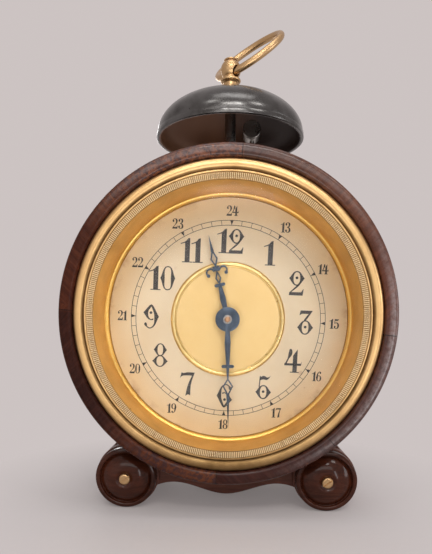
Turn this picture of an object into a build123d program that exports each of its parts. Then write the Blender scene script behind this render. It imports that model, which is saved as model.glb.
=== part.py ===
from build123d import *
import math
import os

# Wooden alarm clock, millimetres. +Z is up and the dial faces -Y.
# A station is a depth measured from the front of the dial, positive towards the back.
# A spot is a place (x, z) measured from the centre of the dial.

# Feet and base
foot_spread = 43.287
foot_clear = 0.4
roller_radius = 13.7
foot_flat = 0.4
base_front = -9.0
base_back = 38.0
apron_setback = 5.0
apron_middle_dip = 9.5
apron_hollow_dip = 4.5
apron_hollow_share = 0.508
apron_end_direction = 206.0
cradle_wrap = 10.8
shoulder_direction = 58.4
rosette_radius = 13.1
rosette_depth = 7.5
rosette_rim = 1.9
rosette_well = 2.6
rosette_seat = 0.7
foot_screw_radius = 1.5
foot_screw_head = 2.4
foot_screw_length = 14.0
foot_screw_turn = 35

# Case
ring_outer = 67.1
ring_overhang = 3.1
drum_wall = 5.0
drum_front = -17.0
drum_back = 43.0
ring_band = 5.7
ring_crown = -25.5
ring_spigot = 5.0
board_thickness = 4.0
board_rebate = 3.0
board_clearance = 0.1
screw_turn = 45
board_screws = 4
board_screw_radius = 0.9
board_screw_head = 1.5
board_screw_length = 9.0
ledge_depth = 6.0
ledge_width = 10.5
glue_gap = 0.05

# Bezel, glass and sight ring
bezel_seat = -24.6
bezel_seat_width = 4.8
bezel_wall = 0.6
flange_edge = -26.4
flange_crest = -28.6
flange_valley = -27.2
bezel_bead_inset = 5.1
bead_half = 0.45
bezel_front = -28.3
bezel_lip_width = 3.1
glass_thickness = 1.8
glass_sag = 6.0
glass_back = -24.2
sight_wall = 0.7
sight_inset = 1.7
sight_foot_width = 2.1

# Dial
dial_inset = 0.5
dial_thickness = 1.0
dial_bore = 3.4
centre_radius = 22.8
centre_thickness = 0.5
bead_width = 2.5
bead_height = 1.5
dial_foot_count = 3
dial_foot_inset = 6.45
dial_foot_turn = 20
dial_foot_radius = 1.5
dial_foot_pin = 0.9
dial_foot_proud = 1.0

# Movement plates
plate_thickness = 1.5
plate_room = 5.0
back_plate_radius = 44.0
pillar_length = 21.5
pillar_radius = 2.5
pillar_ring = 40.0
pillar_angles = (30, 125, 225, 320)
pillar_screw_radius = 1.0
pillar_screw_head = 2.4
pillar_screw_length = 6.0
movement_screw_count = 4
movement_screw_inset = 2.6
movement_screw_turn = 10
movement_screw_radius = 1.0
movement_screw_head = 2.2
movement_screw_length = 6.0
screw_head_height = 1.2
running = 0.06
fit = 0.02

# Teeth
wheel_thickness = 1.0
great_thickness = 1.5
pinion_side = 0.4
tooth_share = 0.4
tooth_height = 0.8
tooth_depth = 1.1
tip_share = 0.5
root_share = 1.25
great_module = 0.6
centre_module = 0.5
third_module = 0.45
fourth_module = 0.4
hour_module = 0.5
great_teeth = 60
centre_leaves = 10
centre_teeth = 48
train_leaves = 8
third_teeth = 45
fourth_teeth = 48
alarm_great_teeth = 48
cannon_leaves = 12
minute_teeth = 36
minute_leaves = 12
hour_teeth = 48
escape_teeth = 15
escape_radius = 6.0
alarm_escape_teeth = 12
alarm_escape_radius = 6.0
escape_tooth = 2.0
saw_back = 0.45
saw_face = 0.1
pivot_radius = 0.6
train_arbor = 0.9

# Directions from one arbor to the next, degrees from +X towards +Z
time_barrel_direction = 190
third_direction = 270
fourth_direction = 270
escape_direction = 220
minute_direction = 230
alarm_escape_direction = 110
alarm_barrel_spot = (22.0, -6.0)
pallet_spot = (1.0, -37.0)
balance_spot = (14.5, -31.0)
hammer_spot = (13.0, 24.0)
stop_spot = (24.0, 20.0)

# Barrels and springs
barrel_front = 15.0
barrel_wall = 1.0
great_front = 26.5
time_barrel_radius = 15.0
alarm_barrel_radius = 12.5
winding_radius = 2.0
winding_core = 3.0
spring_thickness = 0.5
spring_pitch = 1.5
spring_margin = 1.0
ratchet_teeth = 20
ratchet_radius = 6.0
ratchet_gap = 0.5
click_gap = 0.4

# Centre arbor, cannon pinion and hour pipe
centre_arbor_radius = 1.2
cannon_radius = 1.9
hour_pipe_wall = 0.9
motion_gap = 0.8
arbor_nose = 2.2

# Hands
hand_thickness = 0.8
hand_gap = 1.4
hand_proud = 2.6
hand_boss = 5.3
minute_short = 4.1
hour_share = 0.77
hour_turn = 13.4
minute_turn = 180.9

# Escapement and balance
pallet_pin_radius = 0.5
pallet_pin_gap = 0.65
pallet_pin_angle = 35.0
pallet_fork_length = 10.3
balance_radius = 9.5
balance_rim = 1.5
balance_height = 1.6
balance_front = 23.0
roller_disc = 4.2
impulse_ring = 3.5
impulse_radius = 0.4
hairspring_thickness = 0.25
hairspring_pitch = 0.9
hairspring_half_turns = 9
hairspring_height = 1.0
hairspring_front = 26.2
collet_radius = 1.6

# Levers at the back
lever_thickness = 1.0
lever_gap = 0.3
lever_width = 3.0
lever_boss = 2.0
lever_pin = 1.0
lever_knob = 1.9
regulator_reach = 12.0
regulator_direction = 20
regulator_swing = 15
stop_reach = 11.0
stop_direction = 40
stop_swing = 10
slot_clearance = 0.5

# Keys and knobs
key_gap = 1.0
key_shank = 3.2
key_length = 12.0
key_web = 1.0
key_wing = 13.0
key_lobe = 4.6
key_hole = 2.2
key_thickness = 2.0
knob_radius = 6.0
knob_length = 8.0
alarm_knob_radius = 5.2
alarm_arbor_radius = 1.5
alarm_collar = 2.6

# Bell, finial, ring and hammer
bell_station = 12.0
bell_radius = 32.5
bell_clear = 13.1
bell_height = 19.6
bell_wall = 1.3
bell_band = 2.3
bell_band_proud = 0.4
crown_radius = 4.6
post_radius = 2.5
post_collar = 4.2
post_collar_height = 2.0
stud_radius = 1.6
post_nut_radius = 4.0
post_nut_height = 3.2
finial_bulb = 4.5
finial_bulb_height = 11.3
finial_hole = 2.2
finial_hole_drop = 1.4
finial_foot = 4.2
finial_collar = 4.5
ring_wire = 1.55
ring_radius = 16.3
ring_slack = 0.25
ring_direction = 44.0
ring_lean = 45.5
hammer_station = 21.0
hammer_head_radius = 4.25
hammer_head_length = 8.0
hammer_head_at = 9.9
hammer_head_rise = 7.3
hammer_wire = 1.0
hammer_collet = 2.2
hammer_back_swing = 3.0
hammer_strike = 10.0
hammer_slot_room = 1.2
alarm_pallet_reach = 9.0
alarm_pallet_angle = 40.0

# Ornament of the hands
hand_line = 0.7
leaf_belly = 0.45
hour_stem = 1.3
hour_swell_share = 0.25
hour_bar_share = 0.41
hour_bar_width = 4.8
hour_diamond_width = 2.7
hour_knot_share = 0.6
hour_knot = 2.0
hour_knot_width = 3.0
hour_scroll = 1.6
hour_scroll_fall = 1.1
hour_scroll_spread = 2.9
hour_scroll_start = -50
hour_scroll_sweep = 205
hour_scroll_ball = 0.75
hour_leaf_width = 3.3
hour_needle_share = 0.84
minute_stem = 1.3
minute_swell_share = 0.21
minute_bar_share = 0.422
minute_bar_width = 5.5
minute_leaf_share = 0.527
minute_leaf_width = 4.7
minute_needle_share = 0.696

# Wheels and small fittings
end_shake = 0.3
centre_front = 10.0
third_front = 12.6
fourth_front = 16.0
escape_front = 19.0
alarm_escape_front = 12.0
wheel_hub = 3.2
wheel_rim = 1.8
wheel_arm = 1.6
winding_pivot = 1.2
ratchet_tooth = 1.0
pillar_tenon = 1.5
minute_stud_radius = 1.0
minute_stud_proud = 0.3
hairspring_stud = 0.8
click_distance = 10.5
click_lead = 40.0
time_click_direction = 120
alarm_click_direction = 300
hammer_seat = 3.0
hammer_head_edge = 0.5
leaf_thickness = 0.5
leaf_length = 14.0
leaf_foot = 6.0
leaf_width = 5.0
knob_flutes = 16
knob_flute = 0.5
finial_neck = 3.1
finial_cap = 2.6
finial_cap_proud = 0.5
finial_cap_edge = 0.7
finial_cap_rise = 0.6
finial_step = 1.2
stud_length = 2.0

# Derived places
foot_reach = ring_outer + roller_radius + foot_clear
foot_drop = math.sqrt(foot_reach**2 - foot_spread**2)
dial_height = foot_drop + roller_radius - foot_flat
drum_outer = ring_outer - ring_overhang
drum_inner = drum_outer - drum_wall
bezel_flange = ring_outer - ring_band - 2 * glue_gap
bezel_tube_radius = bezel_flange - bezel_seat_width
bezel_bead_radius = bezel_flange - bezel_bead_inset
bezel_lip = bezel_tube_radius - bezel_lip_width
ring_inner = bezel_tube_radius + 2 * glue_gap
sight_foot_radius = bezel_tube_radius - sight_inset
sight_inner = sight_foot_radius - sight_foot_width
dial_radius = bezel_tube_radius - dial_inset
ledge_outer = drum_inner - glue_gap
ledge_inner = ledge_outer - ledge_width
dial_foot_ring = ledge_inner - dial_foot_inset
front_plate_radius = drum_inner - plate_room
movement_screw_ring = front_plate_radius - movement_screw_inset
minute_length = sight_inner - minute_short
hour_length = minute_length * hour_share
bell_rim_height = ring_outer + bell_clear
hammer_head_spot = (hammer_head_at, bell_rim_height + hammer_head_rise)
lip_back = glass_back - glass_thickness
front_reach = glass_sag - lip_back
key_front = drum_back + key_gap
key_back = key_front + key_length
dial_y = (front_reach - key_back) / 2
ledge_back = dial_thickness + ledge_depth
front_plate_back = ledge_back + plate_thickness
back_plate_front = front_plate_back + pillar_length
back_plate_back = back_plate_front + plate_thickness
board_front = drum_back - board_thickness
great_back = great_front + great_thickness
knob_front = drum_back + key_gap

os.makedirs("parts", exist_ok=True)


def plane_at(spot, station):
    """A plane across the arbors, facing the viewer: x to the right, y up."""
    origin = (spot[0], dial_y + station, dial_height + spot[1])
    return Plane(origin=origin, x_dir=(1, 0, 0), z_dir=(0, -1, 0))


def hand_plane(station, turn):
    """A plane for a hand, with its y pointing along the hand: turn is from 12 towards 9."""
    lean_x = (math.cos(math.radians(turn)), 0, math.sin(math.radians(turn)))
    return Plane(origin=(0, dial_y + station, dial_height), x_dir=lean_x, z_dir=(0, -1, 0))


def profile_at(spot):
    """A plane through an arbor for turned profiles: x is the radius, y the station."""
    origin = (spot[0], dial_y, dial_height + spot[1])
    return Plane(origin=origin, x_dir=(1, 0, 0), z_dir=(0, 0, 1))


def axis_at(spot):
    return Axis((spot[0], dial_y, dial_height + spot[1]), (0, 1, 0))


def away(spot, distance, direction):
    turn = math.radians(direction)
    return (spot[0] + distance * math.cos(turn), spot[1] + distance * math.sin(turn))


def direction_of(start, end):
    return math.degrees(math.atan2(end[1] - start[1], end[0] - start[0]))


def distance_of(start, end):
    return math.hypot(end[0] - start[0], end[1] - start[1])


def mesh_distance(module, teeth, leaves):
    return module * (teeth + leaves) / 2


def lathe(points, spot=(0, 0)):
    """Adds a turned solid about an arbor from (radius, station) corners."""
    with BuildSketch(profile_at(spot)) as outline:
        with BuildLine():
            Polyline(*points, close=True)
        make_face()
    revolve(outline.sketch, axis=axis_at(spot))


def shaft(spot, start, *steps):
    """Adds a stepped shaft: each step is (radius, end station)."""
    points = [(0, start)]
    for radius, end in steps:
        points += [(radius, points[-1][1]), (radius, end)]
    points.append((0, points[-1][1]))
    lathe(points, spot)


def bore(spot, radius, front, back):
    """Cuts a round hole between two stations."""
    with BuildSketch(plane_at(spot, back)) as outline:
        Circle(radius)
    extrude(outline.sketch, amount=back - front, mode=Mode.SUBTRACT)


def plate(spot, front, back, radius):
    """Adds a round disc between two stations."""
    with BuildSketch(plane_at(spot, back)) as outline:
        Circle(radius)
    extrude(outline.sketch, amount=back - front)


def bar(start, end, front, back, width):
    """Adds a round-ended flat bar from one spot to another."""
    with BuildSketch(plane_at((0, 0), back)) as outline:
        slot_between(start, end, width)
    extrude(outline.sketch, amount=back - front)


def slot_between(start, end, width):
    """A round-ended slot from one point of a sketch to another."""
    middle = ((start[0] + end[0]) / 2, (start[1] + end[1]) / 2)
    with Locations(middle):
        SlotCenterToCenter(distance_of(start, end), width, rotation=direction_of(start, end))


def gear(spot, front, back, module, teeth, tooth_at):
    """Adds a toothed disc with a tooth centred in the direction tooth_at."""
    pitch_radius = module * teeth / 2
    tip = pitch_radius + tooth_height * module
    root = pitch_radius - tooth_depth * module
    half = tooth_share * 180 / teeth
    points = []
    for tooth in range(teeth):
        middle = tooth_at + 360 * tooth / teeth
        points.append(away((0, 0), root, middle - root_share * half))
        points.append(away((0, 0), tip, middle - tip_share * half))
        points.append(away((0, 0), tip, middle + tip_share * half))
        points.append(away((0, 0), root, middle + root_share * half))
    with BuildSketch(plane_at(spot, back)) as outline:
        with BuildLine():
            Polyline(*points, close=True)
        make_face()
    extrude(outline.sketch, amount=back - front)


def saw_wheel(spot, front, back, teeth, tip, depth):
    """Adds a wheel with pointed teeth that lean one way."""
    points = []
    for tooth in range(teeth):
        middle = 360 * (tooth + 0.5) / teeth
        points.append(away((0, 0), tip - depth, middle - saw_back * 360 / teeth))
        points.append(away((0, 0), tip, middle))
        points.append(away((0, 0), tip - depth, middle + saw_face * 360 / teeth))
    with BuildSketch(plane_at(spot, back)) as outline:
        with BuildLine():
            Polyline(*points, close=True)
        make_face()
    extrude(outline.sketch, amount=back - front)


def windows(spot, front, back, inner, outer, arm):
    """Cuts four windows between the arms of a wheel."""
    with BuildSketch(plane_at(spot, back)) as outline:
        Circle(outer)
        Circle(inner, mode=Mode.SUBTRACT)
        Rectangle(2 * outer, arm, mode=Mode.SUBTRACT)
        Rectangle(arm, 2 * outer, mode=Mode.SUBTRACT)
    extrude(outline.sketch, amount=back - front, mode=Mode.SUBTRACT)


def spiral(spot, front, back, start, pitch, thickness, half_turns):
    """Adds a flat spiral spring made of half-turn arcs."""
    with BuildSketch(plane_at(spot, back)) as outline:
        with BuildLine():
            for side in (-thickness / 2, thickness / 2):
                for turn in range(half_turns):
                    centre = (0, 0) if turn % 2 == 0 else (pitch / 2, 0)
                    radius = start + turn * pitch / 2 + side
                    CenterArc(centre, radius, 180 * turn, 180)
            Line((start - thickness / 2, 0), (start + thickness / 2, 0))
            last = start + (half_turns - 1) * pitch / 2
            middle = 0 if half_turns % 2 else pitch / 2
            reach = -1 if half_turns % 2 else 1
            Line(
                (middle + reach * (last - thickness / 2), 0),
                (middle + reach * (last + thickness / 2), 0),
            )
        make_face()
    extrude(outline.sketch, amount=back - front)


def open_diamond(start, end, width, line):
    """Adds a leaf-shaped loop of a hand along +Y."""
    widest = start + (end - start) * leaf_belly
    Polygon((0, start), (width / 2, widest), (0, end), (-width / 2, widest), align=None)
    inner = width / 2 - line
    share = inner / (width / 2)
    low = widest - (widest - start) * share
    high = widest + (end - widest) * share
    Polygon((0, low), (inner, widest), (0, high), (-inner, widest), align=None, mode=Mode.SUBTRACT)


def write(piece, name):
    piece.part.label = name
    export_step(piece.part, "parts/" + name + ".step")


# Spots of the arbors
centre_spot = (0.0, 0.0)
time_barrel_spot = away(
    centre_spot, mesh_distance(great_module, great_teeth, centre_leaves), time_barrel_direction
)
third_spot = away(centre_spot, mesh_distance(centre_module, centre_teeth, train_leaves), third_direction)
fourth_spot = away(third_spot, mesh_distance(third_module, third_teeth, train_leaves), fourth_direction)
escape_spot = away(fourth_spot, mesh_distance(fourth_module, fourth_teeth, train_leaves), escape_direction)
alarm_escape_spot = away(
    alarm_barrel_spot, mesh_distance(great_module, alarm_great_teeth, train_leaves), alarm_escape_direction
)
minute_distance = mesh_distance(hour_module, hour_teeth, minute_leaves)
cannon_module = 2 * minute_distance / (minute_teeth + cannon_leaves)
minute_spot = away(centre_spot, minute_distance, minute_direction)
alarm_spot = (0.0, hour_module * hour_teeth)

# Front ring of the case
crown_radius_of_ring = ring_band / 2
with BuildPart() as front_ring:
    with BuildSketch(profile_at(centre_spot)):
        with BuildLine():
            Polyline(
                (ring_outer - ring_band, ring_crown),
                (ring_outer - ring_band, bezel_seat),
                (ring_inner, bezel_seat),
                (ring_inner, drum_front + ring_spigot),
                (drum_inner - glue_gap, drum_front + ring_spigot),
                (drum_inner - glue_gap, drum_front),
                (ring_outer - crown_radius_of_ring / 2, drum_front),
                (ring_outer, drum_front - crown_radius_of_ring / 2),
                (ring_outer, ring_crown),
            )
            ThreePointArc(
                (ring_outer, ring_crown),
                (ring_outer - crown_radius_of_ring, ring_crown - crown_radius_of_ring),
                (ring_outer - ring_band, ring_crown),
            )
        make_face()
    revolve(axis=axis_at(centre_spot))
write(front_ring, "front_ring")

# Drum of the case, with the hole for the bell post and the slot for the hammer
hammer_rest = direction_of(hammer_spot, hammer_head_spot)


def arm_x(height, swing):
    """Where the hammer arm stands at a height when swung towards +X."""
    slope = math.tan(math.radians(hammer_rest - swing))
    return hammer_spot[0] + (height - hammer_spot[1]) / slope


slot_left = arm_x(drum_outer, -hammer_back_swing) - hammer_wire - hammer_slot_room
slot_right = arm_x(drum_outer, hammer_strike) + hammer_wire + hammer_slot_room
slot_depth = 2 * (hammer_wire + hammer_slot_room)
board_screw_spots = [
    away(centre_spot, drum_inner + board_rebate / 2, screw_turn + 360 * corner / board_screws)
    for corner in range(board_screws)
]
with BuildPart() as case_drum:
    lathe(
        [
            (drum_inner, drum_front),
            (drum_outer, drum_front),
            (drum_outer, drum_back),
            (drum_inner + board_rebate, drum_back),
            (drum_inner + board_rebate, board_front),
            (drum_inner, board_front),
        ]
    )
    with BuildSketch(Plane.XY.offset(dial_height)):
        with Locations((0, dial_y + bell_station)):
            Circle(post_radius + fit)
        with Locations(((slot_left + slot_right) / 2, dial_y + hammer_station)):
            Rectangle(slot_right - slot_left, slot_depth)
    extrude(amount=2 * drum_outer, mode=Mode.SUBTRACT)
    for spot in board_screw_spots:
        bore(spot, board_screw_radius + fit, drum_back - board_screw_length, board_front)
write(case_drum, "case_drum")

# Ledge ring that carries the dial and the movement
movement_screw_spots = [
    away(centre_spot, movement_screw_ring, movement_screw_turn + 360 * corner / movement_screw_count)
    for corner in range(movement_screw_count)
]
with BuildPart() as dial_ledge:
    lathe(
        [
            (ledge_inner, dial_thickness),
            (ledge_outer, dial_thickness),
            (ledge_outer, ledge_back),
            (ledge_inner, ledge_back),
        ]
    )
    for spot in movement_screw_spots:
        hole_front = front_plate_back - movement_screw_length
        bore(spot, movement_screw_radius + fit, hole_front, ledge_back)
write(dial_ledge, "dial_ledge")

# Back board with holes for the arbors and curved slots for the two levers
regulator_pin_spot = away(balance_spot, regulator_reach, regulator_direction)
stop_pin_spot = away(stop_spot, stop_reach, stop_direction)
board_radius = drum_inner + board_rebate - board_clearance
with BuildPart() as back_board:
    plate(centre_spot, board_front, drum_back, board_radius)
    bore(centre_spot, centre_arbor_radius + slot_clearance, board_front, drum_back)
    bore(alarm_spot, alarm_arbor_radius + slot_clearance, board_front, drum_back)
    bore(time_barrel_spot, winding_radius + slot_clearance, board_front, drum_back)
    bore(alarm_barrel_spot, winding_radius + slot_clearance, board_front, drum_back)
    with BuildSketch(plane_at(centre_spot, drum_back)):
        with BuildLine(mode=Mode.PRIVATE):
            regulator_arc = CenterArc(
                balance_spot, regulator_reach, regulator_direction - regulator_swing, 2 * regulator_swing
            )
            stop_arc = CenterArc(stop_spot, stop_reach, stop_direction - stop_swing, 2 * stop_swing)
        SlotArc(regulator_arc, 2 * (lever_pin + slot_clearance))
        SlotArc(stop_arc, 2 * (lever_pin + slot_clearance))
    extrude(amount=board_thickness, mode=Mode.SUBTRACT)
    for spot in board_screw_spots:
        bore(spot, board_screw_radius + fit, board_front, drum_back)
        bore(spot, board_screw_head + fit, drum_back - screw_head_height, drum_back)
write(back_board, "back_board")

with BuildPart() as back_screws:
    for spot in board_screw_spots:
        shaft(
            spot,
            drum_back - board_screw_length,
            (board_screw_radius, drum_back - screw_head_height),
            (board_screw_head, drum_back),
        )
    for spot in board_screw_spots:
        with BuildSketch(plane_at(spot, drum_back)):
            Rectangle(2 * board_screw_head, board_screw_head / 3, rotation=screw_turn)
        extrude(amount=screw_head_height / 2, mode=Mode.SUBTRACT)
write(back_screws, "back_screws")

# Base with its roller ends, wavy apron and hollow for the drum
cradle_radius = drum_outer + glue_gap
foot_spots = [(-foot_spread, -foot_drop), (foot_spread, -foot_drop)]
foot_direction = direction_of(centre_spot, foot_spots[1])
cradle_end = away(centre_spot, cradle_radius, foot_direction + cradle_wrap)
shoulder = away(foot_spots[1], roller_radius, shoulder_direction)
apron_end = away(foot_spots[1], roller_radius, apron_end_direction)
apron_hollow = (foot_spread * apron_hollow_share, -foot_drop - apron_hollow_dip)
with BuildPart() as base_cradle:
    with BuildSketch(plane_at(centre_spot, base_back)):
        with BuildLine():
            Spline(
                (-apron_end[0], apron_end[1]),
                (-apron_hollow[0], apron_hollow[1]),
                (0, -foot_drop - apron_middle_dip),
                apron_hollow,
                apron_end,
            )
            Polyline(apron_end, foot_spots[1], shoulder, cradle_end)
            ThreePointArc(cradle_end, (0, -cradle_radius), (-cradle_end[0], cradle_end[1]))
            Polyline(
                (-cradle_end[0], cradle_end[1]),
                (-shoulder[0], shoulder[1]),
                foot_spots[0],
                (-apron_end[0], apron_end[1]),
            )
        make_face()
    extrude(amount=base_back - base_front - apron_setback)
    for spot in foot_spots:
        plate(spot, base_front, base_back, roller_radius)
        bore(spot, foot_screw_radius + fit, base_front, base_front - rosette_depth + foot_screw_length)
    split(bisect_by=Plane.XY, keep=Keep.TOP)
write(base_cradle, "base_cradle")


# Turned rosettes on the front of the rollers
def rosette(spot):
    front = base_front - rosette_depth
    groove = rosette_radius - 2 * rosette_rim
    with BuildPart() as turned:
        with BuildSketch(profile_at(spot)) as outline:
            with BuildLine():
                Polyline(
                    (foot_screw_radius + fit, front + rosette_seat),
                    (foot_screw_radius + fit, base_front),
                    (rosette_radius, base_front),
                    (rosette_radius, front + 2 * rosette_rim),
                )
                ThreePointArc(
                    (rosette_radius, front + 2 * rosette_rim),
                    (rosette_radius - rosette_rim, front + rosette_rim),
                    (groove, front + 2 * rosette_rim),
                )
                ThreePointArc(
                    (groove, front + 2 * rosette_rim),
                    ((groove + rosette_well) / 2 + rosette_rim / 2, front + rosette_rim / 2),
                    (rosette_well, front),
                )
                Polyline(
                    (rosette_well, front),
                    (rosette_well, front + rosette_seat),
                    (foot_screw_radius + fit, front + rosette_seat),
                )
            make_face()
        revolve(outline.sketch, axis=axis_at(spot))
    return turned


write(rosette(foot_spots[0]), "foot_rosette_left")
write(rosette(foot_spots[1]), "foot_rosette_right")

screw_seat = base_front - rosette_depth + rosette_seat
with BuildPart() as foot_screws:
    for spot in foot_spots:
        shaft(
            spot,
            screw_seat - foot_screw_head / 2,
            (foot_screw_head, screw_seat),
            (foot_screw_radius, base_front - rosette_depth + foot_screw_length),
        )
    heads = foot_screws.edges().filter_by(GeomType.CIRCLE).group_by(Axis.Y)[0]
    fillet(heads, foot_screw_head / 3)
    for spot in foot_spots:
        with BuildSketch(plane_at(spot, screw_seat - foot_screw_head / 4)):
            Rectangle(2 * foot_screw_head, foot_screw_head / 4, rotation=foot_screw_turn)
        extrude(amount=foot_screw_head, mode=Mode.SUBTRACT)
write(foot_screws, "foot_screws")

# Brass bezel: convex flange, bead, sloping band and the lip over the glass
bezel_tube_back = drum_front - glue_gap
bead_outer = bezel_bead_radius + bead_half
bead_within = bezel_bead_radius - bead_half
flange_middle = (bezel_flange + bead_outer) / 2
with BuildPart() as bezel:
    with BuildSketch(profile_at(centre_spot)):
        with BuildLine():
            Polyline(
                (bezel_tube_radius, bezel_tube_back),
                (bezel_tube_radius, bezel_seat),
                (bezel_flange, bezel_seat),
                (bezel_flange, flange_edge),
            )
            ThreePointArc(
                (bezel_flange, flange_edge), (flange_middle, flange_crest), (bead_outer, flange_valley)
            )
            Line((bead_outer, flange_valley), (bead_outer, bezel_front + bead_half))
            ThreePointArc(
                (bead_outer, bezel_front + bead_half),
                (bezel_bead_radius, bezel_front),
                (bead_within, bezel_front + bead_half),
            )
            Polyline(
                (bead_within, bezel_front + bead_half),
                (bead_within, bezel_front + 2 * bead_half),
                (bezel_lip, lip_back - 2 * bead_half),
                (bezel_lip, lip_back),
                (bezel_tube_radius - bezel_wall, lip_back),
                (bezel_tube_radius - bezel_wall, bezel_tube_back),
                (bezel_tube_radius, bezel_tube_back),
            )
        make_face()
    revolve(axis=axis_at(centre_spot))
write(bezel, "bezel")

# Convex glass under the lip of the bezel
glass_radius = bezel_tube_radius - bezel_wall - glue_gap
glass_edge = bezel_lip - glue_gap
glass_curve = (glass_edge**2 + glass_sag**2) / (2 * glass_sag)
with BuildPart() as glass:
    with BuildSketch(profile_at(centre_spot)):
        with BuildLine():
            apex = lip_back - glass_sag
            half_radius = glass_edge / 2
            half_rise = glass_curve - math.sqrt(glass_curve**2 - half_radius**2)
            ThreePointArc((0, apex), (half_radius, apex + half_rise), (glass_edge, lip_back))
            Polyline(
                (glass_edge, lip_back),
                (glass_radius, lip_back),
                (glass_radius, glass_back),
                (glass_edge, glass_back),
            )
            ThreePointArc(
                (glass_edge, glass_back),
                (half_radius, apex + half_rise + glass_thickness),
                (0, apex + glass_thickness),
            )
            Line((0, apex + glass_thickness), (0, apex))
        make_face()
    revolve(axis=axis_at(centre_spot))
write(glass, "glass")

# Sight ring: a deep cone from the glass down to a bead on the dial
with BuildPart() as sight_ring:
    with BuildSketch(profile_at(centre_spot)):
        with BuildLine():
            Polyline(
                (sight_inner, 0),
                (sight_foot_radius, 0),
                (sight_foot_radius, -2 * sight_wall),
                (glass_radius, glass_back + 2 * sight_wall),
                (glass_radius, glass_back),
                (glass_radius - sight_wall, glass_back),
                (sight_foot_radius - sight_wall, -3 * sight_wall),
            )
            ThreePointArc(
                (sight_foot_radius - sight_wall, -3 * sight_wall),
                (sight_inner + sight_wall, -2.5 * sight_wall),
                (sight_inner, -sight_wall),
            )
            Line((sight_inner, -sight_wall), (sight_inner, 0))
        make_face()
    revolve(axis=axis_at(centre_spot))
write(sight_ring, "sight_ring")

# Dial, its gilt centre, the bead round the centre, and the feet behind
dial_foot_spots = [
    away(centre_spot, dial_foot_ring, dial_foot_turn + 360 * corner / dial_foot_count)
    for corner in range(dial_foot_count)
]
with BuildPart() as dial:
    plate(centre_spot, 0, dial_thickness, dial_radius)
    bore(centre_spot, dial_bore, 0, dial_thickness)
write(dial, "dial")

with BuildPart() as dial_centre:
    plate(centre_spot, -centre_thickness, 0, centre_radius)
    bore(centre_spot, dial_bore, -centre_thickness, 0)
write(dial_centre, "dial_centre")

with BuildPart() as dial_bead:
    with BuildSketch(profile_at(centre_spot)):
        with BuildLine():
            bead_inner = centre_radius + glue_gap
            Line((bead_inner, 0), (bead_inner + bead_width, 0))
            ThreePointArc(
                (bead_inner + bead_width, 0), (bead_inner + bead_width / 2, -bead_height), (bead_inner, 0)
            )
        make_face()
    revolve(axis=axis_at(centre_spot))
write(dial_bead, "dial_bead")

with BuildPart() as dial_feet:
    for spot in dial_foot_spots:
        shaft(
            spot,
            dial_thickness,
            (dial_foot_radius, ledge_back),
            (dial_foot_pin, front_plate_back + dial_foot_proud),
        )
write(dial_feet, "dial_feet")

# Stations of the motion work between the dial and the front plate
hour_front = dial_thickness + motion_gap
hour_back = hour_front + wheel_thickness
minute_front = hour_back + motion_gap
minute_back = minute_front + wheel_thickness
hour_hand_back = -hand_proud
hour_hand_front = hour_hand_back - hand_thickness
minute_hand_back = hour_hand_front - hand_gap
minute_hand_front = minute_hand_back - hand_thickness
hour_pipe_inner = cannon_radius + running
hour_pipe_outer = hour_pipe_inner + hour_pipe_wall
key_grip = key_front + key_length / 2

# Hour hand: stem, cross bar, open diamond, two scrolls, open leaf and needle
hour_bar_at = hour_length * hour_bar_share
hour_knot_at = hour_length * hour_knot_share
hour_needle_at = hour_length * hour_needle_share
with BuildPart() as hour_hand:
    with BuildSketch(hand_plane(hour_hand_back, hour_turn)):
        Circle(hand_boss)
        Polygon(
            (-hand_line, 0),
            (hand_line, 0),
            (hour_stem, hour_length * hour_swell_share),
            (hand_line, hour_bar_at),
            (-hand_line, hour_bar_at),
            (-hour_stem, hour_length * hour_swell_share),
            align=None,
        )
        with Locations((0, hour_bar_at)):
            SlotOverall(hour_bar_width, 2 * hand_line)
        open_diamond(hour_bar_at, hour_knot_at - hour_knot / 4, hour_diamond_width, hand_line)
        with Locations((0, hour_knot_at)):
            Rectangle(hour_knot_width, hour_knot)
        for side in (-1, 1):
            curl_centre = (side * hour_scroll_spread, hour_knot_at - hour_scroll_fall)
            curl_start = hour_scroll_start if side > 0 else 180 - hour_scroll_start - hour_scroll_sweep
            with BuildLine(mode=Mode.PRIVATE):
                curl = CenterArc(curl_centre, hour_scroll, curl_start, hour_scroll_sweep)
            SlotArc(curl, hand_line)
            curl_end = hour_scroll_start if side > 0 else 180 - hour_scroll_start
            with Locations(away(curl_centre, hour_scroll, curl_end)):
                Circle(hour_scroll_ball)
        open_diamond(hour_knot_at + hour_knot / 4, hour_needle_at, hour_leaf_width, hand_line)
        Polygon(
            (-hand_line, hour_needle_at - 2 * hand_line),
            (hand_line, hour_needle_at - 2 * hand_line),
            (0, hour_length),
            align=None,
        )
        Circle(hour_pipe_outer + fit, mode=Mode.SUBTRACT)
    extrude(amount=hand_thickness)
write(hour_hand, "hour_hand")

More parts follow.
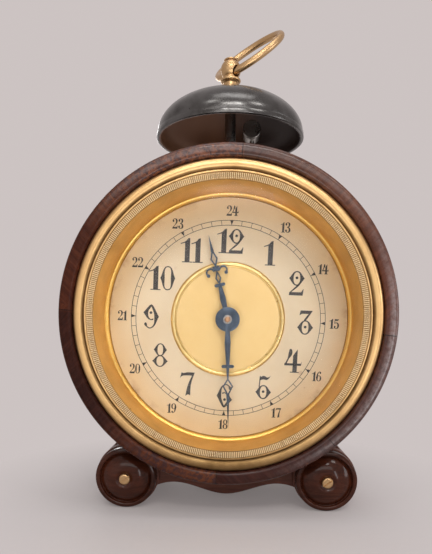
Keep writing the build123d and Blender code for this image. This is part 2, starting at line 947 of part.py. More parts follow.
# Minute hand: swelling stem, cross bar, open leaf and long needle
minute_swell_at = minute_length * minute_swell_share
minute_bar_at = minute_length * minute_bar_share
minute_leaf_at = minute_length * minute_leaf_share
minute_needle_at = minute_length * minute_needle_share
with BuildPart() as minute_hand:
    with BuildSketch(hand_plane(minute_hand_back, minute_turn)):
        Circle(hand_boss)
        Polygon(
            (-hand_line, 0),
            (hand_line, 0),
            (minute_stem, minute_swell_at),
            (hand_line, minute_bar_at),
            (hand_line / 2, minute_leaf_at + hand_line),
            (-hand_line / 2, minute_leaf_at + hand_line),
            (-hand_line, minute_bar_at),
            (-minute_stem, minute_swell_at),
            align=None,
        )
        with Locations((0, minute_bar_at)):
            SlotOverall(minute_bar_width, 2 * hand_line)
        open_diamond(minute_leaf_at, minute_needle_at, minute_leaf_width, hand_line)
        Polygon(
            (-hand_line, minute_needle_at - 2 * hand_line),
            (hand_line, minute_needle_at - 2 * hand_line),
            (0, minute_length),
            align=None,
        )
        Circle(cannon_radius + fit, mode=Mode.SUBTRACT)
    extrude(amount=hand_thickness)
write(minute_hand, "minute_hand")

# Movement plates, with the pivot holes of every arbor
train_spots = (
    third_spot, fourth_spot, escape_spot, pallet_spot, balance_spot, alarm_escape_spot, hammer_spot
)
winding_spots = (time_barrel_spot, alarm_barrel_spot)
pillar_spots = [away(centre_spot, pillar_ring, angle) for angle in pillar_angles]
with BuildPart() as front_plate:
    plate(centre_spot, ledge_back, front_plate_back, front_plate_radius)
    shaft(minute_spot, hour_front - minute_stud_proud, (minute_stud_radius, ledge_back))
    bore(centre_spot, cannon_radius + running, ledge_back, front_plate_back)
    bore(alarm_spot, alarm_arbor_radius + running, ledge_back, front_plate_back)
    for spot in train_spots:
        bore(spot, pivot_radius + running, ledge_back, front_plate_back)
    for spot in winding_spots:
        bore(spot, winding_pivot + running, ledge_back, front_plate_back)
    for spot in pillar_spots:
        bore(spot, pillar_tenon + fit, ledge_back, front_plate_back)
    for spot in dial_foot_spots:
        bore(spot, dial_foot_pin + fit, ledge_back, front_plate_back)
    for spot in movement_screw_spots:
        bore(spot, movement_screw_radius + fit, ledge_back, front_plate_back)
write(front_plate, "front_plate")

lever_front = back_plate_back + lever_gap
lever_back = lever_front + lever_thickness
ratchet_front = back_plate_back + ratchet_gap
ratchet_back = ratchet_front + wheel_thickness
time_click_spot = away(time_barrel_spot, click_distance, time_click_direction)
alarm_click_spot = away(alarm_barrel_spot, click_distance, alarm_click_direction)
last_radius = collet_radius + hairspring_pitch + (hairspring_half_turns - 1) * hairspring_pitch / 2
hairspring_end = (balance_spot[0] - last_radius, balance_spot[1])
with BuildPart() as back_plate:
    plate(centre_spot, back_plate_front, back_plate_back, back_plate_radius)
    for spot in (time_click_spot, alarm_click_spot, stop_spot):
        shaft(spot, back_plate_back, (lever_boss - running, ratchet_back + lever_gap))
    shaft(balance_spot, back_plate_back, (lever_boss - running, ratchet_back + lever_gap))
    plate(
        (hairspring_end[0] - hairspring_stud - hairspring_thickness, hairspring_end[1]),
        hairspring_front,
        back_plate_front,
        hairspring_stud,
    )
    bore(centre_spot, cannon_radius + running, back_plate_front, back_plate_back)
    bore(alarm_spot, alarm_arbor_radius + running, back_plate_front, back_plate_back)
    for spot in train_spots:
        bore(spot, pivot_radius + running, back_plate_front, back_plate_back)
    for spot in winding_spots:
        bore(spot, winding_radius + running, back_plate_front, back_plate_back)
    for spot in pillar_spots:
        bore(spot, pillar_screw_radius + fit, back_plate_front, back_plate_back)
write(back_plate, "back_plate")

with BuildPart() as pillars:
    for spot in pillar_spots:
        shaft(spot, ledge_back, (pillar_tenon, front_plate_back), (pillar_radius, back_plate_front))
        bore(spot, pillar_screw_radius + fit, back_plate_back - pillar_screw_length, back_plate_front)
write(pillars, "pillars")

with BuildPart() as pillar_screws:
    for spot in pillar_spots:
        shaft(
            spot,
            back_plate_back - pillar_screw_length,
            (pillar_screw_radius, back_plate_back),
            (pillar_screw_head, back_plate_back + screw_head_height),
        )
write(pillar_screws, "pillar_screws")

with BuildPart() as movement_screws:
    for spot in movement_screw_spots:
        shaft(
            spot,
            front_plate_back - movement_screw_length,
            (movement_screw_radius, front_plate_back),
            (movement_screw_head, front_plate_back + screw_head_height),
        )
write(movement_screws, "movement_screws")

# Motion work: centre arbor, cannon pinion, minute wheel, hour wheel and alarm wheel
to_minute = direction_of(centre_spot, minute_spot)
hour_tooth = to_minute + 180 / hour_teeth
to_alarm = direction_of(centre_spot, alarm_spot)
hour_offset = (hour_tooth - to_alarm) % (360 / hour_teeth)
with BuildPart() as centre_arbor:
    shaft(centre_spot, minute_hand_front - arbor_nose, (centre_arbor_radius, key_grip))
    nose = centre_arbor.edges().filter_by(GeomType.CIRCLE).sort_by(Axis.Y)[0]
    fillet(nose, centre_arbor_radius / 2)
write(centre_arbor, "centre_arbor")

with BuildPart() as cannon_pinion:
    plate(centre_spot, minute_hand_front, minute_back + pinion_side, cannon_radius)
    gear(
        centre_spot,
        minute_front - pinion_side,
        minute_back + pinion_side,
        cannon_module,
        cannon_leaves,
        to_minute,
    )
    bore(centre_spot, centre_arbor_radius + fit, minute_hand_front, minute_back + pinion_side)
write(cannon_pinion, "cannon_pinion")

with BuildPart() as minute_wheel:
    gear(
        minute_spot,
        minute_front,
        minute_back,
        cannon_module,
        minute_teeth,
        to_minute + 180 + 180 / minute_teeth,
    )
    gear(minute_spot, hour_front - pinion_side, minute_front, hour_module, minute_leaves, to_minute + 180)
    bore(minute_spot, minute_stud_radius + running, hour_front - pinion_side, minute_back)
write(minute_wheel, "minute_wheel")

with BuildPart() as hour_wheel:
    plate(centre_spot, hour_hand_front, hour_back, hour_pipe_outer)
    gear(centre_spot, hour_front, hour_back, hour_module, hour_teeth, hour_tooth)
    bore(centre_spot, hour_pipe_inner, hour_hand_front, hour_back)
write(hour_wheel, "hour_wheel")

with BuildPart() as alarm_wheel:
    gear(
        alarm_spot,
        hour_front,
        hour_back,
        hour_module,
        hour_teeth,
        to_alarm + 180 - hour_offset + 180 / hour_teeth,
    )
    bore(alarm_spot, alarm_arbor_radius + running, hour_front, hour_back)
write(alarm_wheel, "alarm_wheel")


# Going train: each arbor has a wheel, a pinion and two pivots
def train_shaft(spot, radius):
    shaft(
        spot,
        ledge_back + end_shake,
        (pivot_radius, front_plate_back + end_shake),
        (radius, back_plate_front - end_shake),
        (pivot_radius, back_plate_back - end_shake),
    )


to_barrel = direction_of(centre_spot, time_barrel_spot)
to_third = direction_of(centre_spot, third_spot)
to_fourth = direction_of(third_spot, fourth_spot)
to_escape = direction_of(fourth_spot, escape_spot)
with BuildPart() as centre_wheel:
    plate(centre_spot, ledge_back, back_plate_back, cannon_radius)
    centre_back = centre_front + wheel_thickness
    gear(centre_spot, centre_front, centre_back, centre_module, centre_teeth, to_third + 180 / centre_teeth)
    windows(
        centre_spot,
        centre_front,
        centre_back,
        wheel_hub,
        centre_module * centre_teeth / 2 - wheel_rim,
        wheel_arm,
    )
    gear(
        centre_spot,
        great_front - pinion_side,
        great_back + pinion_side,
        great_module,
        centre_leaves,
        to_barrel,
    )
    bore(centre_spot, centre_arbor_radius + running, ledge_back, back_plate_back)
write(centre_wheel, "centre_wheel")

with BuildPart() as third_wheel:
    train_shaft(third_spot, train_arbor)
    gear(
        third_spot,
        centre_front - pinion_side,
        centre_back + pinion_side,
        centre_module,
        train_leaves,
        to_third + 180,
    )
    third_back = third_front + wheel_thickness
    gear(third_spot, third_front, third_back, third_module, third_teeth, to_fourth + 180 / third_teeth)
    windows(
        third_spot,
        third_front,
        third_back,
        wheel_hub,
        third_module * third_teeth / 2 - wheel_rim,
        wheel_arm,
    )
write(third_wheel, "third_wheel")

with BuildPart() as fourth_wheel:
    train_shaft(fourth_spot, train_arbor)
    gear(
        fourth_spot,
        third_front - pinion_side,
        third_back + pinion_side,
        third_module,
        train_leaves,
        to_fourth + 180,
    )
    fourth_back = fourth_front + wheel_thickness
    gear(fourth_spot, fourth_front, fourth_back, fourth_module, fourth_teeth, to_escape + 180 / fourth_teeth)
    windows(
        fourth_spot,
        fourth_front,
        fourth_back,
        wheel_hub,
        fourth_module * fourth_teeth / 2 - wheel_rim,
        wheel_arm,
    )
write(fourth_wheel, "fourth_wheel")

with BuildPart() as escape_wheel:
    train_shaft(escape_spot, train_arbor)
    gear(
        escape_spot,
        fourth_front - pinion_side,
        fourth_back + pinion_side,
        fourth_module,
        train_leaves,
        to_escape + 180,
    )
    escape_back = escape_front + wheel_thickness
    saw_wheel(escape_spot, escape_front, escape_back, escape_teeth, escape_radius, escape_tooth)
write(escape_wheel, "escape_wheel")

# Pallet lever: two pins astride the escape wheel and a fork towards the balance
to_pallet = direction_of(escape_spot, pallet_spot)
to_balance = direction_of(pallet_spot, balance_spot)
pin_ring = escape_radius + pallet_pin_gap + pallet_pin_radius
pallet_pin_spots = [away(escape_spot, pin_ring, to_pallet + side * pallet_pin_angle) for side in (-1, 1)]
lever_plate_front = escape_back + end_shake
with BuildPart() as pallet_lever:
    train_shaft(pallet_spot, train_arbor)
    for spot in pallet_pin_spots:
        bar(pallet_spot, spot, lever_plate_front, lever_plate_front + wheel_thickness, 2 * train_arbor)
        plate(spot, escape_front - end_shake, lever_plate_front, pallet_pin_radius)
    fork = away(pallet_spot, pallet_fork_length - train_arbor, to_balance)
    bar(pallet_spot, fork, lever_plate_front, lever_plate_front + wheel_thickness, 2 * train_arbor)
write(pallet_lever, "pallet_lever")

# Balance wheel with its roller, impulse pin and collet, then the hairspring
with BuildPart() as balance_wheel:
    train_shaft(balance_spot, train_arbor)
    plate(balance_spot, balance_front, balance_front + balance_height, balance_radius)
    windows(
        balance_spot,
        balance_front,
        balance_front + balance_height,
        roller_disc,
        balance_radius - balance_rim,
        wheel_arm,
    )
    impulse_spot = away(balance_spot, impulse_ring, to_balance + 180)
    plate(impulse_spot, lever_plate_front, balance_front, impulse_radius)
    plate(balance_spot, hairspring_front - end_shake, back_plate_front - 2 * end_shake, collet_radius)
write(balance_wheel, "balance_wheel")

with BuildPart() as hairspring:
    spiral(
        balance_spot,
        hairspring_front,
        hairspring_front + hairspring_height,
        collet_radius + hairspring_pitch,
        hairspring_pitch,
        hairspring_thickness,
        hairspring_half_turns,
    )
write(hairspring, "hairspring")


# Barrels, mainsprings, winding arbors and clicks
def spring_barrel(spot, radius, teeth, tooth_at):
    with BuildPart() as barrel:
        plate(spot, barrel_front, great_front, radius)
        bore(spot, radius - barrel_wall, barrel_front, great_front)
        gear(spot, great_front, great_back, great_module, teeth, tooth_at)
        bore(spot, winding_radius + running, great_front, great_back)
    return barrel


def mainspring(spot, radius):
    room = radius - barrel_wall - winding_core - (spring_thickness + spring_margin) / 2
    half_turns = int(2 * room / spring_pitch) - 1
    with BuildPart() as coil:
        spiral(
            spot,
            barrel_front + spring_margin,
            great_front - spring_margin,
            winding_core + spring_pitch / 2,
            spring_pitch,
            spring_thickness,
            half_turns,
        )
    return coil


def winding_arbor(spot):
    with BuildPart() as arbor:
        shaft(
            spot,
            ledge_back + end_shake,
            (winding_pivot, front_plate_back + end_shake),
            (winding_radius, barrel_front),
            (winding_core, great_front - end_shake),
            (winding_radius, key_grip),
        )
        saw_wheel(spot, ratchet_front, ratchet_back, ratchet_teeth, ratchet_radius, ratchet_tooth)
    return arbor


def click(spot, arbor_spot):
    nose_ring = ratchet_radius + click_gap + lever_pin
    nose = away(arbor_spot, nose_ring, direction_of(arbor_spot, spot) + click_lead)
    with BuildPart() as pawl:
        plate(spot, ratchet_front, ratchet_back, lever_boss + wheel_thickness)
        bar(spot, nose, ratchet_front, ratchet_back, 2 * lever_pin)
        bore(spot, lever_boss, ratchet_front, ratchet_back)
    return pawl


barrel_tooth = to_barrel + 180 + 180 / great_teeth
alarm_tooth = alarm_escape_direction + 180 / alarm_great_teeth
write(spring_barrel(time_barrel_spot, time_barrel_radius, great_teeth, barrel_tooth), "time_barrel")
write(spring_barrel(alarm_barrel_spot, alarm_barrel_radius, alarm_great_teeth, alarm_tooth), "alarm_barrel")
write(mainspring(time_barrel_spot, time_barrel_radius), "time_mainspring")
write(mainspring(alarm_barrel_spot, alarm_barrel_radius), "alarm_mainspring")
write(winding_arbor(time_barrel_spot), "time_winding_arbor")
write(winding_arbor(alarm_barrel_spot), "alarm_winding_arbor")
write(click(time_click_spot, time_barrel_spot), "time_click")
write(click(alarm_click_spot, alarm_barrel_spot), "alarm_click")

# Alarm escape wheel, and the hammer with its arbor, pallets and arm
with BuildPart() as alarm_escape_wheel:
    train_shaft(alarm_escape_spot, train_arbor)
    gear(
        alarm_escape_spot,
        great_front - pinion_side,
        great_back + pinion_side,
        great_module,
        train_leaves,
        alarm_escape_direction + 180,
    )
    saw_wheel(
        alarm_escape_spot,
        alarm_escape_front,
        alarm_escape_front + wheel_thickness,
        alarm_escape_teeth,
        alarm_escape_radius,
        escape_tooth,
    )
write(alarm_escape_wheel, "alarm_escape_wheel")

to_hammer = direction_of(alarm_escape_spot, hammer_spot)
arm_end = away(hammer_head_spot, -hammer_head_radius + hammer_seat, hammer_rest)
with BuildPart() as hammer:
    train_shaft(hammer_spot, train_arbor)
    plate(hammer_spot, alarm_escape_front, hammer_station + hammer_collet, hammer_collet)
    for side in (-1, 1):
        pallet = away(alarm_escape_spot, alarm_pallet_reach, to_hammer + side * alarm_pallet_angle)
        bar(hammer_spot, pallet, alarm_escape_front, alarm_escape_front + wheel_thickness, 2 * train_arbor)
    arm_plane = Plane(
        origin=(hammer_spot[0], dial_y + hammer_station, dial_height + hammer_spot[1]),
        z_dir=(arm_end[0] - hammer_spot[0], 0, arm_end[1] - hammer_spot[1]),
    )
    with BuildSketch(arm_plane):
        Circle(hammer_wire)
    extrude(amount=distance_of(hammer_spot, arm_end))
write(hammer, "hammer")

with BuildPart() as hammer_head:
    plate(
        hammer_head_spot,
        hammer_station - hammer_head_length / 2,
        hammer_station + hammer_head_length / 2,
        hammer_head_radius,
    )
    rims = hammer_head.edges().filter_by(GeomType.CIRCLE)
    fillet(rims, hammer_head_edge)
    seat_plane = Plane(
        origin=(arm_end[0], dial_y + hammer_station, dial_height + arm_end[1]),
        z_dir=(hammer_spot[0] - arm_end[0], 0, hammer_spot[1] - arm_end[1]),
    )
    with BuildSketch(seat_plane):
        Circle(hammer_wire + fit)
    extrude(amount=hammer_head_radius, mode=Mode.SUBTRACT)
write(hammer_head, "hammer_head")

# Alarm setting arbor and the leaf spring that presses on its collar
with BuildPart() as alarm_arbor:
    shaft(
        alarm_spot,
        hour_front - pinion_side,
        (alarm_arbor_radius, hour_back + end_shake),
        (alarm_collar, hour_back + end_shake + wheel_thickness),
        (alarm_arbor_radius, key_grip),
    )
write(alarm_arbor, "alarm_arbor")

leaf_back = hour_back + 2 * end_shake + wheel_thickness + leaf_thickness
leaf_tip = alarm_spot[0] - alarm_arbor_radius - slot_clearance - running
with BuildPart() as alarm_spring:
    with BuildSketch(Plane.XY.offset(dial_height + alarm_spot[1])):
        Polygon(
            (leaf_tip, dial_y + leaf_back - leaf_thickness),
            (leaf_tip, dial_y + leaf_back),
            (leaf_tip - leaf_length, dial_y + ledge_back),
            (leaf_tip - leaf_length - leaf_foot, dial_y + ledge_back),
            (leaf_tip - leaf_length - leaf_foot, dial_y + ledge_back - leaf_thickness),
            (leaf_tip - leaf_length, dial_y + ledge_back - leaf_thickness),
            align=None,
        )
    extrude(amount=leaf_width / 2, both=True)
write(alarm_spring, "alarm_spring")


# Levers on the back plate whose pins come out through the back board
def pin_lever(spot, pin_spot):
    with BuildPart() as lever:
        plate(spot, lever_front, lever_back, lever_boss + lever_width / 2)
        bar(spot, pin_spot, lever_front, lever_back, lever_width)
        shaft(
            pin_spot,
            lever_front,
            (lever_pin, drum_back + slot_clearance),
            (lever_knob, drum_back + slot_clearance + 2 * lever_knob),
        )
        ends = lever.edges().filter_by(GeomType.CIRCLE).group_by(Axis.Y)[-1]
        fillet(ends, lever_knob / 2)
        bore(spot, lever_boss, lever_front, lever_back)
    return lever


write(pin_lever(balance_spot, regulator_pin_spot), "regulator_lever")
write(pin_lever(stop_spot, stop_pin_spot), "stop_lever")


# Winding keys with two pierced wings, and the turned setting knobs
def winding_key(spot):
    with BuildPart() as key:
        plate(spot, key_front, key_grip + key_web, key_shank)
        with BuildSketch(profile_at(spot)) as wings:
            lobe_at = key_wing - key_lobe
            with Locations((0, key_back - key_lobe)):
                Rectangle(2 * lobe_at, key_lobe)
            with Locations((-lobe_at, key_back - key_lobe), (lobe_at, key_back - key_lobe)):
                Circle(key_lobe)
                Circle(key_hole, mode=Mode.SUBTRACT)
        extrude(wings.sketch, amount=key_thickness / 2, both=True)
        bore(spot, winding_radius + fit, key_front, key_grip)
    return key


def setting_knob(spot, radius, arbor_radius):
    knob_back = knob_front + knob_length
    with BuildPart() as knob:
        lathe(
            [
                (0, knob_front),
                (radius / 2, knob_front),
                (radius / 2, knob_front + knob_length / 3),
                (radius, knob_front + knob_length / 2),
                (radius, knob_back - radius / 6),
                (radius * 5 / 6, knob_back),
                (0, knob_back),
            ],
            spot,
        )
        with BuildSketch(plane_at(spot, knob_back)) as flutes:
            with PolarLocations(radius, knob_flutes):
                Circle(knob_flute)
        extrude(flutes.sketch, amount=knob_length, mode=Mode.SUBTRACT)
        bore(spot, arbor_radius + fit, knob_front, key_grip)
    return knob


write(winding_key(time_barrel_spot), "time_key")
write(winding_key(alarm_barrel_spot), "alarm_key")
write(setting_knob(centre_spot, knob_radius, centre_arbor_radius), "set_knob")
write(setting_knob(alarm_spot, alarm_knob_radius, alarm_arbor_radius), "alarm_knob")

# Bell: a flattened dome with a proud band at the rim
bell_y = dial_y + bell_station
bell_plane = Plane(origin=(0, bell_y, dial_height), x_dir=(1, 0, 0), z_dir=(0, -1, 0))
bell_axis = Axis((0, bell_y, 0), (0, 0, 1))
bell_top = bell_rim_height + bell_height
dome_base = bell_rim_height + bell_band
dome_height = bell_top - dome_base


def dome_point(radius, height, at):
    """The height of an elliptical dome at a distance from its axis."""
    return dome_base + height * math.sqrt(1 - (at / radius) ** 2)


with BuildPart() as bell:
    with BuildSketch(bell_plane):
        with BuildLine():
            crown_angle = math.degrees(math.acos(crown_radius / bell_radius))
            inner_radius = bell_radius - bell_wall
            inner_height = dome_height - bell_wall
            inner_angle = math.degrees(math.acos(crown_radius / inner_radius))
            outer = EllipticalCenterArc((0, dome_base), bell_radius, dome_height, 0, arc_size=crown_angle)
            inner = EllipticalCenterArc((0, dome_base), inner_radius, inner_height, 0, arc_size=inner_angle)
            Polyline(
                inner @ 0,
                (inner_radius, bell_rim_height),
                (bell_radius + bell_band_proud, bell_rim_height),
                (bell_radius + bell_band_proud, dome_base),
                outer @ 0,
            )
            Polyline(
                outer @ 1,
                (stud_radius + fit, (outer @ 1).Y),
                (stud_radius + fit, (inner @ 1).Y),
                inner @ 1,
            )
        make_face()
    revolve(axis=bell_axis)
write(bell, "bell")

crown_top = dome_point(bell_radius, dome_height, crown_radius)
crown_under = dome_point(bell_radius - bell_wall, dome_height - bell_wall, crown_radius)
bulb_height = crown_top + finial_bulb_height
cap_foot = bulb_height + math.sqrt(finial_bulb**2 - finial_cap**2)
cap_edge = cap_foot + finial_cap_edge
finial_top = cap_edge + finial_cap_rise
stud_top = crown_top + stud_length
nut_top = math.sqrt(drum_inner**2 - post_nut_radius**2)
nut_bottom = nut_top - post_nut_height


def bell_lathe(points):
    """Adds a turned solid about the bell axis from (radius, height) corners."""
    with BuildSketch(bell_plane) as outline:
        with BuildLine():
            Polyline(*points, close=True)
        make_face()
    revolve(outline.sketch, axis=bell_axis)


with BuildPart() as bell_post:
    bell_lathe(
        [
            (0, nut_bottom),
            (post_radius, nut_bottom),
            (post_radius, drum_outer),
            (post_collar, drum_outer),
            (post_collar, drum_outer + post_collar_height),
            (post_radius, drum_outer + 2 * post_collar_height),
            (post_radius, crown_under - post_collar_height),
            (post_collar, crown_under),
            (stud_radius, crown_under),
            (stud_radius, stud_top),
            (0, stud_top),
        ]
    )
write(bell_post, "bell_post")

with BuildPart() as post_nut:
    with BuildSketch(Plane(origin=(0, bell_y, dial_height + nut_bottom))):
        RegularPolygon(post_nut_radius, 6)
        Circle(post_radius + fit, mode=Mode.SUBTRACT)
    extrude(amount=post_nut_height)
write(post_nut, "post_nut")

# Finial: foot, neck, collar, pierced bulb and overhanging cap
ring_along = (math.sin(math.radians(ring_direction)), -math.cos(math.radians(ring_direction)), 0)
ring_hinge = (0, bell_y, dial_height + bulb_height - finial_hole_drop)
cap_radius = finial_cap + finial_cap_proud
cap_curve = (cap_radius**2 + finial_cap_rise**2) / (2 * finial_cap_rise)
cap_bend = cap_curve - math.sqrt(cap_curve**2 - (cap_radius / 2) ** 2)
with BuildPart() as finial:
    with BuildSketch(bell_plane):
        with BuildLine():
            bulb_foot = bulb_height - math.sqrt(finial_bulb**2 - finial_neck**2)
            Polyline(
                (0, crown_top),
                (finial_foot, crown_top),
                (finial_foot, crown_top + finial_step),
                (finial_neck, crown_top + 1.5 * finial_step),
                (finial_neck, bulb_foot - 2 * finial_step),
                (finial_collar, bulb_foot - 1.5 * finial_step),
                (finial_collar, bulb_foot - finial_step / 2),
                (finial_neck, bulb_foot),
            )
            ThreePointArc((finial_neck, bulb_foot), (finial_bulb, bulb_height), (finial_cap, cap_foot))
            Polyline((finial_cap, cap_foot), (cap_radius, cap_foot), (cap_radius, cap_edge))
            ThreePointArc((cap_radius, cap_edge), (cap_radius / 2, finial_top - cap_bend), (0, finial_top))
            Line((0, finial_top), (0, crown_top))
        make_face()
    revolve(axis=bell_axis)
    with BuildSketch(Plane(origin=ring_hinge, z_dir=ring_along)):
        Circle(finial_hole)
    extrude(amount=2 * finial_bulb, both=True, mode=Mode.SUBTRACT)
    with BuildSketch(Plane(origin=(0, bell_y, dial_height + crown_top))):
        Circle(stud_radius + fit)
    extrude(amount=stud_length, mode=Mode.SUBTRACT)
write(finial, "finial")

# Ring handle, hanging in the hole of the finial and leaning back to the right
lean = math.radians(ring_lean)
ring_up = Vector(
    math.sin(lean) * math.cos(math.radians(ring_direction)),
    math.sin(lean) * math.sin(math.radians(ring_direction)),
    math.cos(lean),
)
ring_centre = Vector(*ring_hinge) + ring_up * (ring_radius - ring_slack)
with BuildPart() as ring_handle:
    with BuildSketch(Plane(origin=ring_centre, x_dir=ring_up, z_dir=ring_along)):
        with Locations((-ring_radius, 0)):
            Circle(ring_wire)
    revolve(axis=Axis(ring_centre, Vector(*ring_along).cross(ring_up)))
write(ring_handle, "ring_handle")
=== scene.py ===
import math

import bpy
from mathutils import Euler, Matrix, Vector


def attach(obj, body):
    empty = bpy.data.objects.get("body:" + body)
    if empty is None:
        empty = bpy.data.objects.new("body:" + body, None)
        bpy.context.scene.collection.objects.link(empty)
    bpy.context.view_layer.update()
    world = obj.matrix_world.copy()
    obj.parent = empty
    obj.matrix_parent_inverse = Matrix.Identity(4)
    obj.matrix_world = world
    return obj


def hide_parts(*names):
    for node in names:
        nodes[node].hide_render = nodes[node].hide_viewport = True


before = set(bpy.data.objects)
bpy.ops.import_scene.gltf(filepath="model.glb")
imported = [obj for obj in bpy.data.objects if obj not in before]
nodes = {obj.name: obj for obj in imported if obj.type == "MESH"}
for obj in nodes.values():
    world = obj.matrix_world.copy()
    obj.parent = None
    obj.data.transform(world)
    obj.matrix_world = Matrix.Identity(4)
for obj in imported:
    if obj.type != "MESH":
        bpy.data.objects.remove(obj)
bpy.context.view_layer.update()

# Sizes in metres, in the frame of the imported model
mm = 0.001
dial_y = -12.0 * mm
dial_height = 82.0 * mm
print_turn = math.radians(-1.8)
ink_lift = 0.03 * mm
ink_height = 0.05 * mm
track_outer = 43.1
track_inner = 41.0
track_line = 0.22
hour_figure_ring = 34.2
hour_figure_height = 10.6
day_figure_ring = 47.2
day_figure_height = 4.3
mill_outer = 55.75
mill_inner = 53.45
mill_outer_station = -27.4
mill_inner_station = -26.95
mill_count = 460
mill_width = 0.42
mill_height = 0.36
mill_top = 0.6
bell_rim = 80.2
bell_base = 82.5
bell_radius = 32.5
bell_height = 17.3
bell_wall = 1.3
crown_radius = 4.6
hinge_height = 109.526
ring_direction = math.radians(44.0)
ring_lean = math.radians(45.5)
ring_radius = 16.3
ring_wire = 1.54
ring_slack = 0.25
foot_spread = 43.287
foot_drop = 68.7


def place(x, station, z):
    """A point from the dial centre and a depth behind the dial, in millimetres, as a place in the frame."""
    return Vector((x * mm, dial_y + station * mm, dial_height + z * mm))


# Helpers for modelling
def nothing_selected():
    bpy.ops.object.select_all(action="DESELECT")


def only_selected(piece):
    nothing_selected()
    piece.select_set(True)
    bpy.context.view_layer.objects.active = piece


def finish_piece(piece, name, body, material, replaced=()):
    piece.name = name
    piece.data.name = name
    piece.data.materials.clear()
    piece.data.materials.append(material)
    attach(piece, body)
    if replaced:
        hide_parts(*replaced)
    return piece


def apply_place(piece):
    only_selected(piece)
    bpy.ops.object.transform_apply(location=True, rotation=True, scale=True)


def join_pieces(parts):
    nothing_selected()
    for part in parts:
        part.select_set(True)
    bpy.context.view_layer.objects.active = parts[0]
    bpy.ops.object.join()
    return bpy.context.view_layer.objects.active


def turned(profile, centre, axis, across, steps, open_angle):
    """A turned piece: a closed profile of (radius, along) in millimetres, spun about an axis."""
    nothing_selected()
    bpy.ops.mesh.primitive_circle_add(vertices=len(profile), radius=mm)
    piece = bpy.context.view_layer.objects.active
    for vertex, (radius, along) in zip(piece.data.vertices, profile):
        vertex.co = centre + across * radius * mm + axis * along * mm
    bpy.ops.object.mode_set(mode="EDIT")
    bpy.ops.mesh.select_all(action="SELECT")
    bpy.ops.mesh.spin(steps=steps, angle=2 * math.pi, center=centre, axis=axis)
    bpy.ops.mesh.select_all(action="SELECT")
    bpy.ops.mesh.remove_doubles(threshold=0.002 * mm)
    bpy.ops.mesh.dissolve_degenerate(threshold=0.001 * mm)
    bpy.ops.mesh.normals_make_consistent(inside=False)
    bpy.ops.object.mode_set(mode="OBJECT")
    bpy.ops.object.shade_smooth_by_angle(angle=math.radians(open_angle))
    return piece


def arc(centre, radius, start, end, count):
    """Points of an arc in a profile, degrees from the first axis."""
    points = []
    for step in range(count + 1):
        turn = math.radians(start + (end - start) * step / count)
        points.append((centre[0] + radius * math.cos(turn), centre[1] + radius * math.sin(turn)))
    return points


def arc_through(first, middle, last, count):
    """Points of the arc of a profile through three points."""
    (ax, ay), (bx, by), (cx, cy) = first, middle, last
    twice = 2 * (ax * (by - cy) + bx * (cy - ay) + cx * (ay - by))
    squares = [x * x + y * y for x, y in (first, middle, last)]
    centre_x = (squares[0] * (by - cy) + squares[1] * (cy - ay) + squares[2] * (ay - by)) / twice
    centre_y = (squares[0] * (cx - bx) + squares[1] * (ax - cx) + squares[2] * (bx - ax)) / twice
    angles = [math.degrees(math.atan2(y - centre_y, x - centre_x)) for x, y in (first, middle, last)]
    start, through, end = angles
    clockwise = (through - start) % 360 > (end - start) % 360
    sweep = (end - start) % 360 - (360 if clockwise else 0)
    return arc((centre_x, centre_y), math.hypot(ax - centre_x, ay - centre_y), start, start + sweep, count)


dial_axis = Vector((0, 1, 0))
across = Vector((1, 0, 0))
dial_centre = place(0, 0, 0)


def turned_piece(profile, steps, open_angle, name, material, replaced, centre=dial_centre, axis=dial_axis):
    """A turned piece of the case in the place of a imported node."""
    piece = turned(profile, centre, axis, across, steps, open_angle)
    return finish_piece(piece, name, "case", material, [replaced])


# Helpers for materials
def put(tree, kind, settings=None, sockets=None):
    """Adds a node, sets its options, and sets or links its sockets."""
    node = tree.nodes.new(kind)
    for name, value in (settings or {}).items():
        setattr(node, name, value)
    for name, value in (sockets or {}).items():
        if isinstance(value, bpy.types.NodeSocket):
            tree.links.new(value, node.inputs[name])
        else:
            node.inputs[name].default_value = value
    return node


def math_node(tree, operation, first, second=0.0):
    node = put(tree, "ShaderNodeMath", {"operation": operation}, {0: first, 1: second})
    return node.outputs[0]


def times(tree, first, second):
    return math_node(tree, "MULTIPLY", first, second)


def larger(tree, first, second):
    return math_node(tree, "MAXIMUM", first, second)


def apart(tree, first, second):
    """How far two values lie apart."""
    return math_node(tree, "ABSOLUTE", math_node(tree, "SUBTRACT", first, second))


def square_sum(tree, first, second):
    squares = [math_node(tree, "POWER", value, 2.0) for value in (first, second)]
    return math_node(tree, "ADD", *squares)


def remap(tree, value, low, high, to_low=0.0, to_high=1.0):
    sockets = {"Value": value, "From Min": low, "From Max": high, "To Min": to_low, "To Max": to_high}
    return put(tree, "ShaderNodeMapRange", None, sockets).outputs["Result"]


def blend_colour(tree, factor, first, second, how="MIX"):
    settings = {"data_type": "RGBA", "blend_type": how}
    node = put(tree, "ShaderNodeMix", settings, {"Factor": factor, 6: first, 7: second})
    return node.outputs[2]


def noise(tree, vector, scale, detail=4.0, roughness=0.55, distortion=0.0):
    sockets = {"Vector": vector, "Scale": scale, "Detail": detail}
    sockets |= {"Roughness": roughness, "Distortion": distortion}
    return put(tree, "ShaderNodeTexNoise", None, sockets).outputs["Fac"]


def mapped(tree, vector, scale=(1, 1, 1), location=(0, 0, 0), rotation=(0, 0, 0)):
    sockets = {"Vector": vector, "Scale": scale, "Location": location, "Rotation": rotation}
    return put(tree, "ShaderNodeMapping", None, sockets).outputs["Vector"]


def ramp(tree, factor, stops):
    node = put(tree, "ShaderNodeValToRGB", None, {"Fac": factor})
    elements = node.color_ramp.elements
    while len(elements) < len(stops):
        elements.new(0.5)
    for element, (position, colour) in zip(elements, stops):
        element.position = position
        element.color = (*colour, 1.0)
    return node.outputs["Color"]


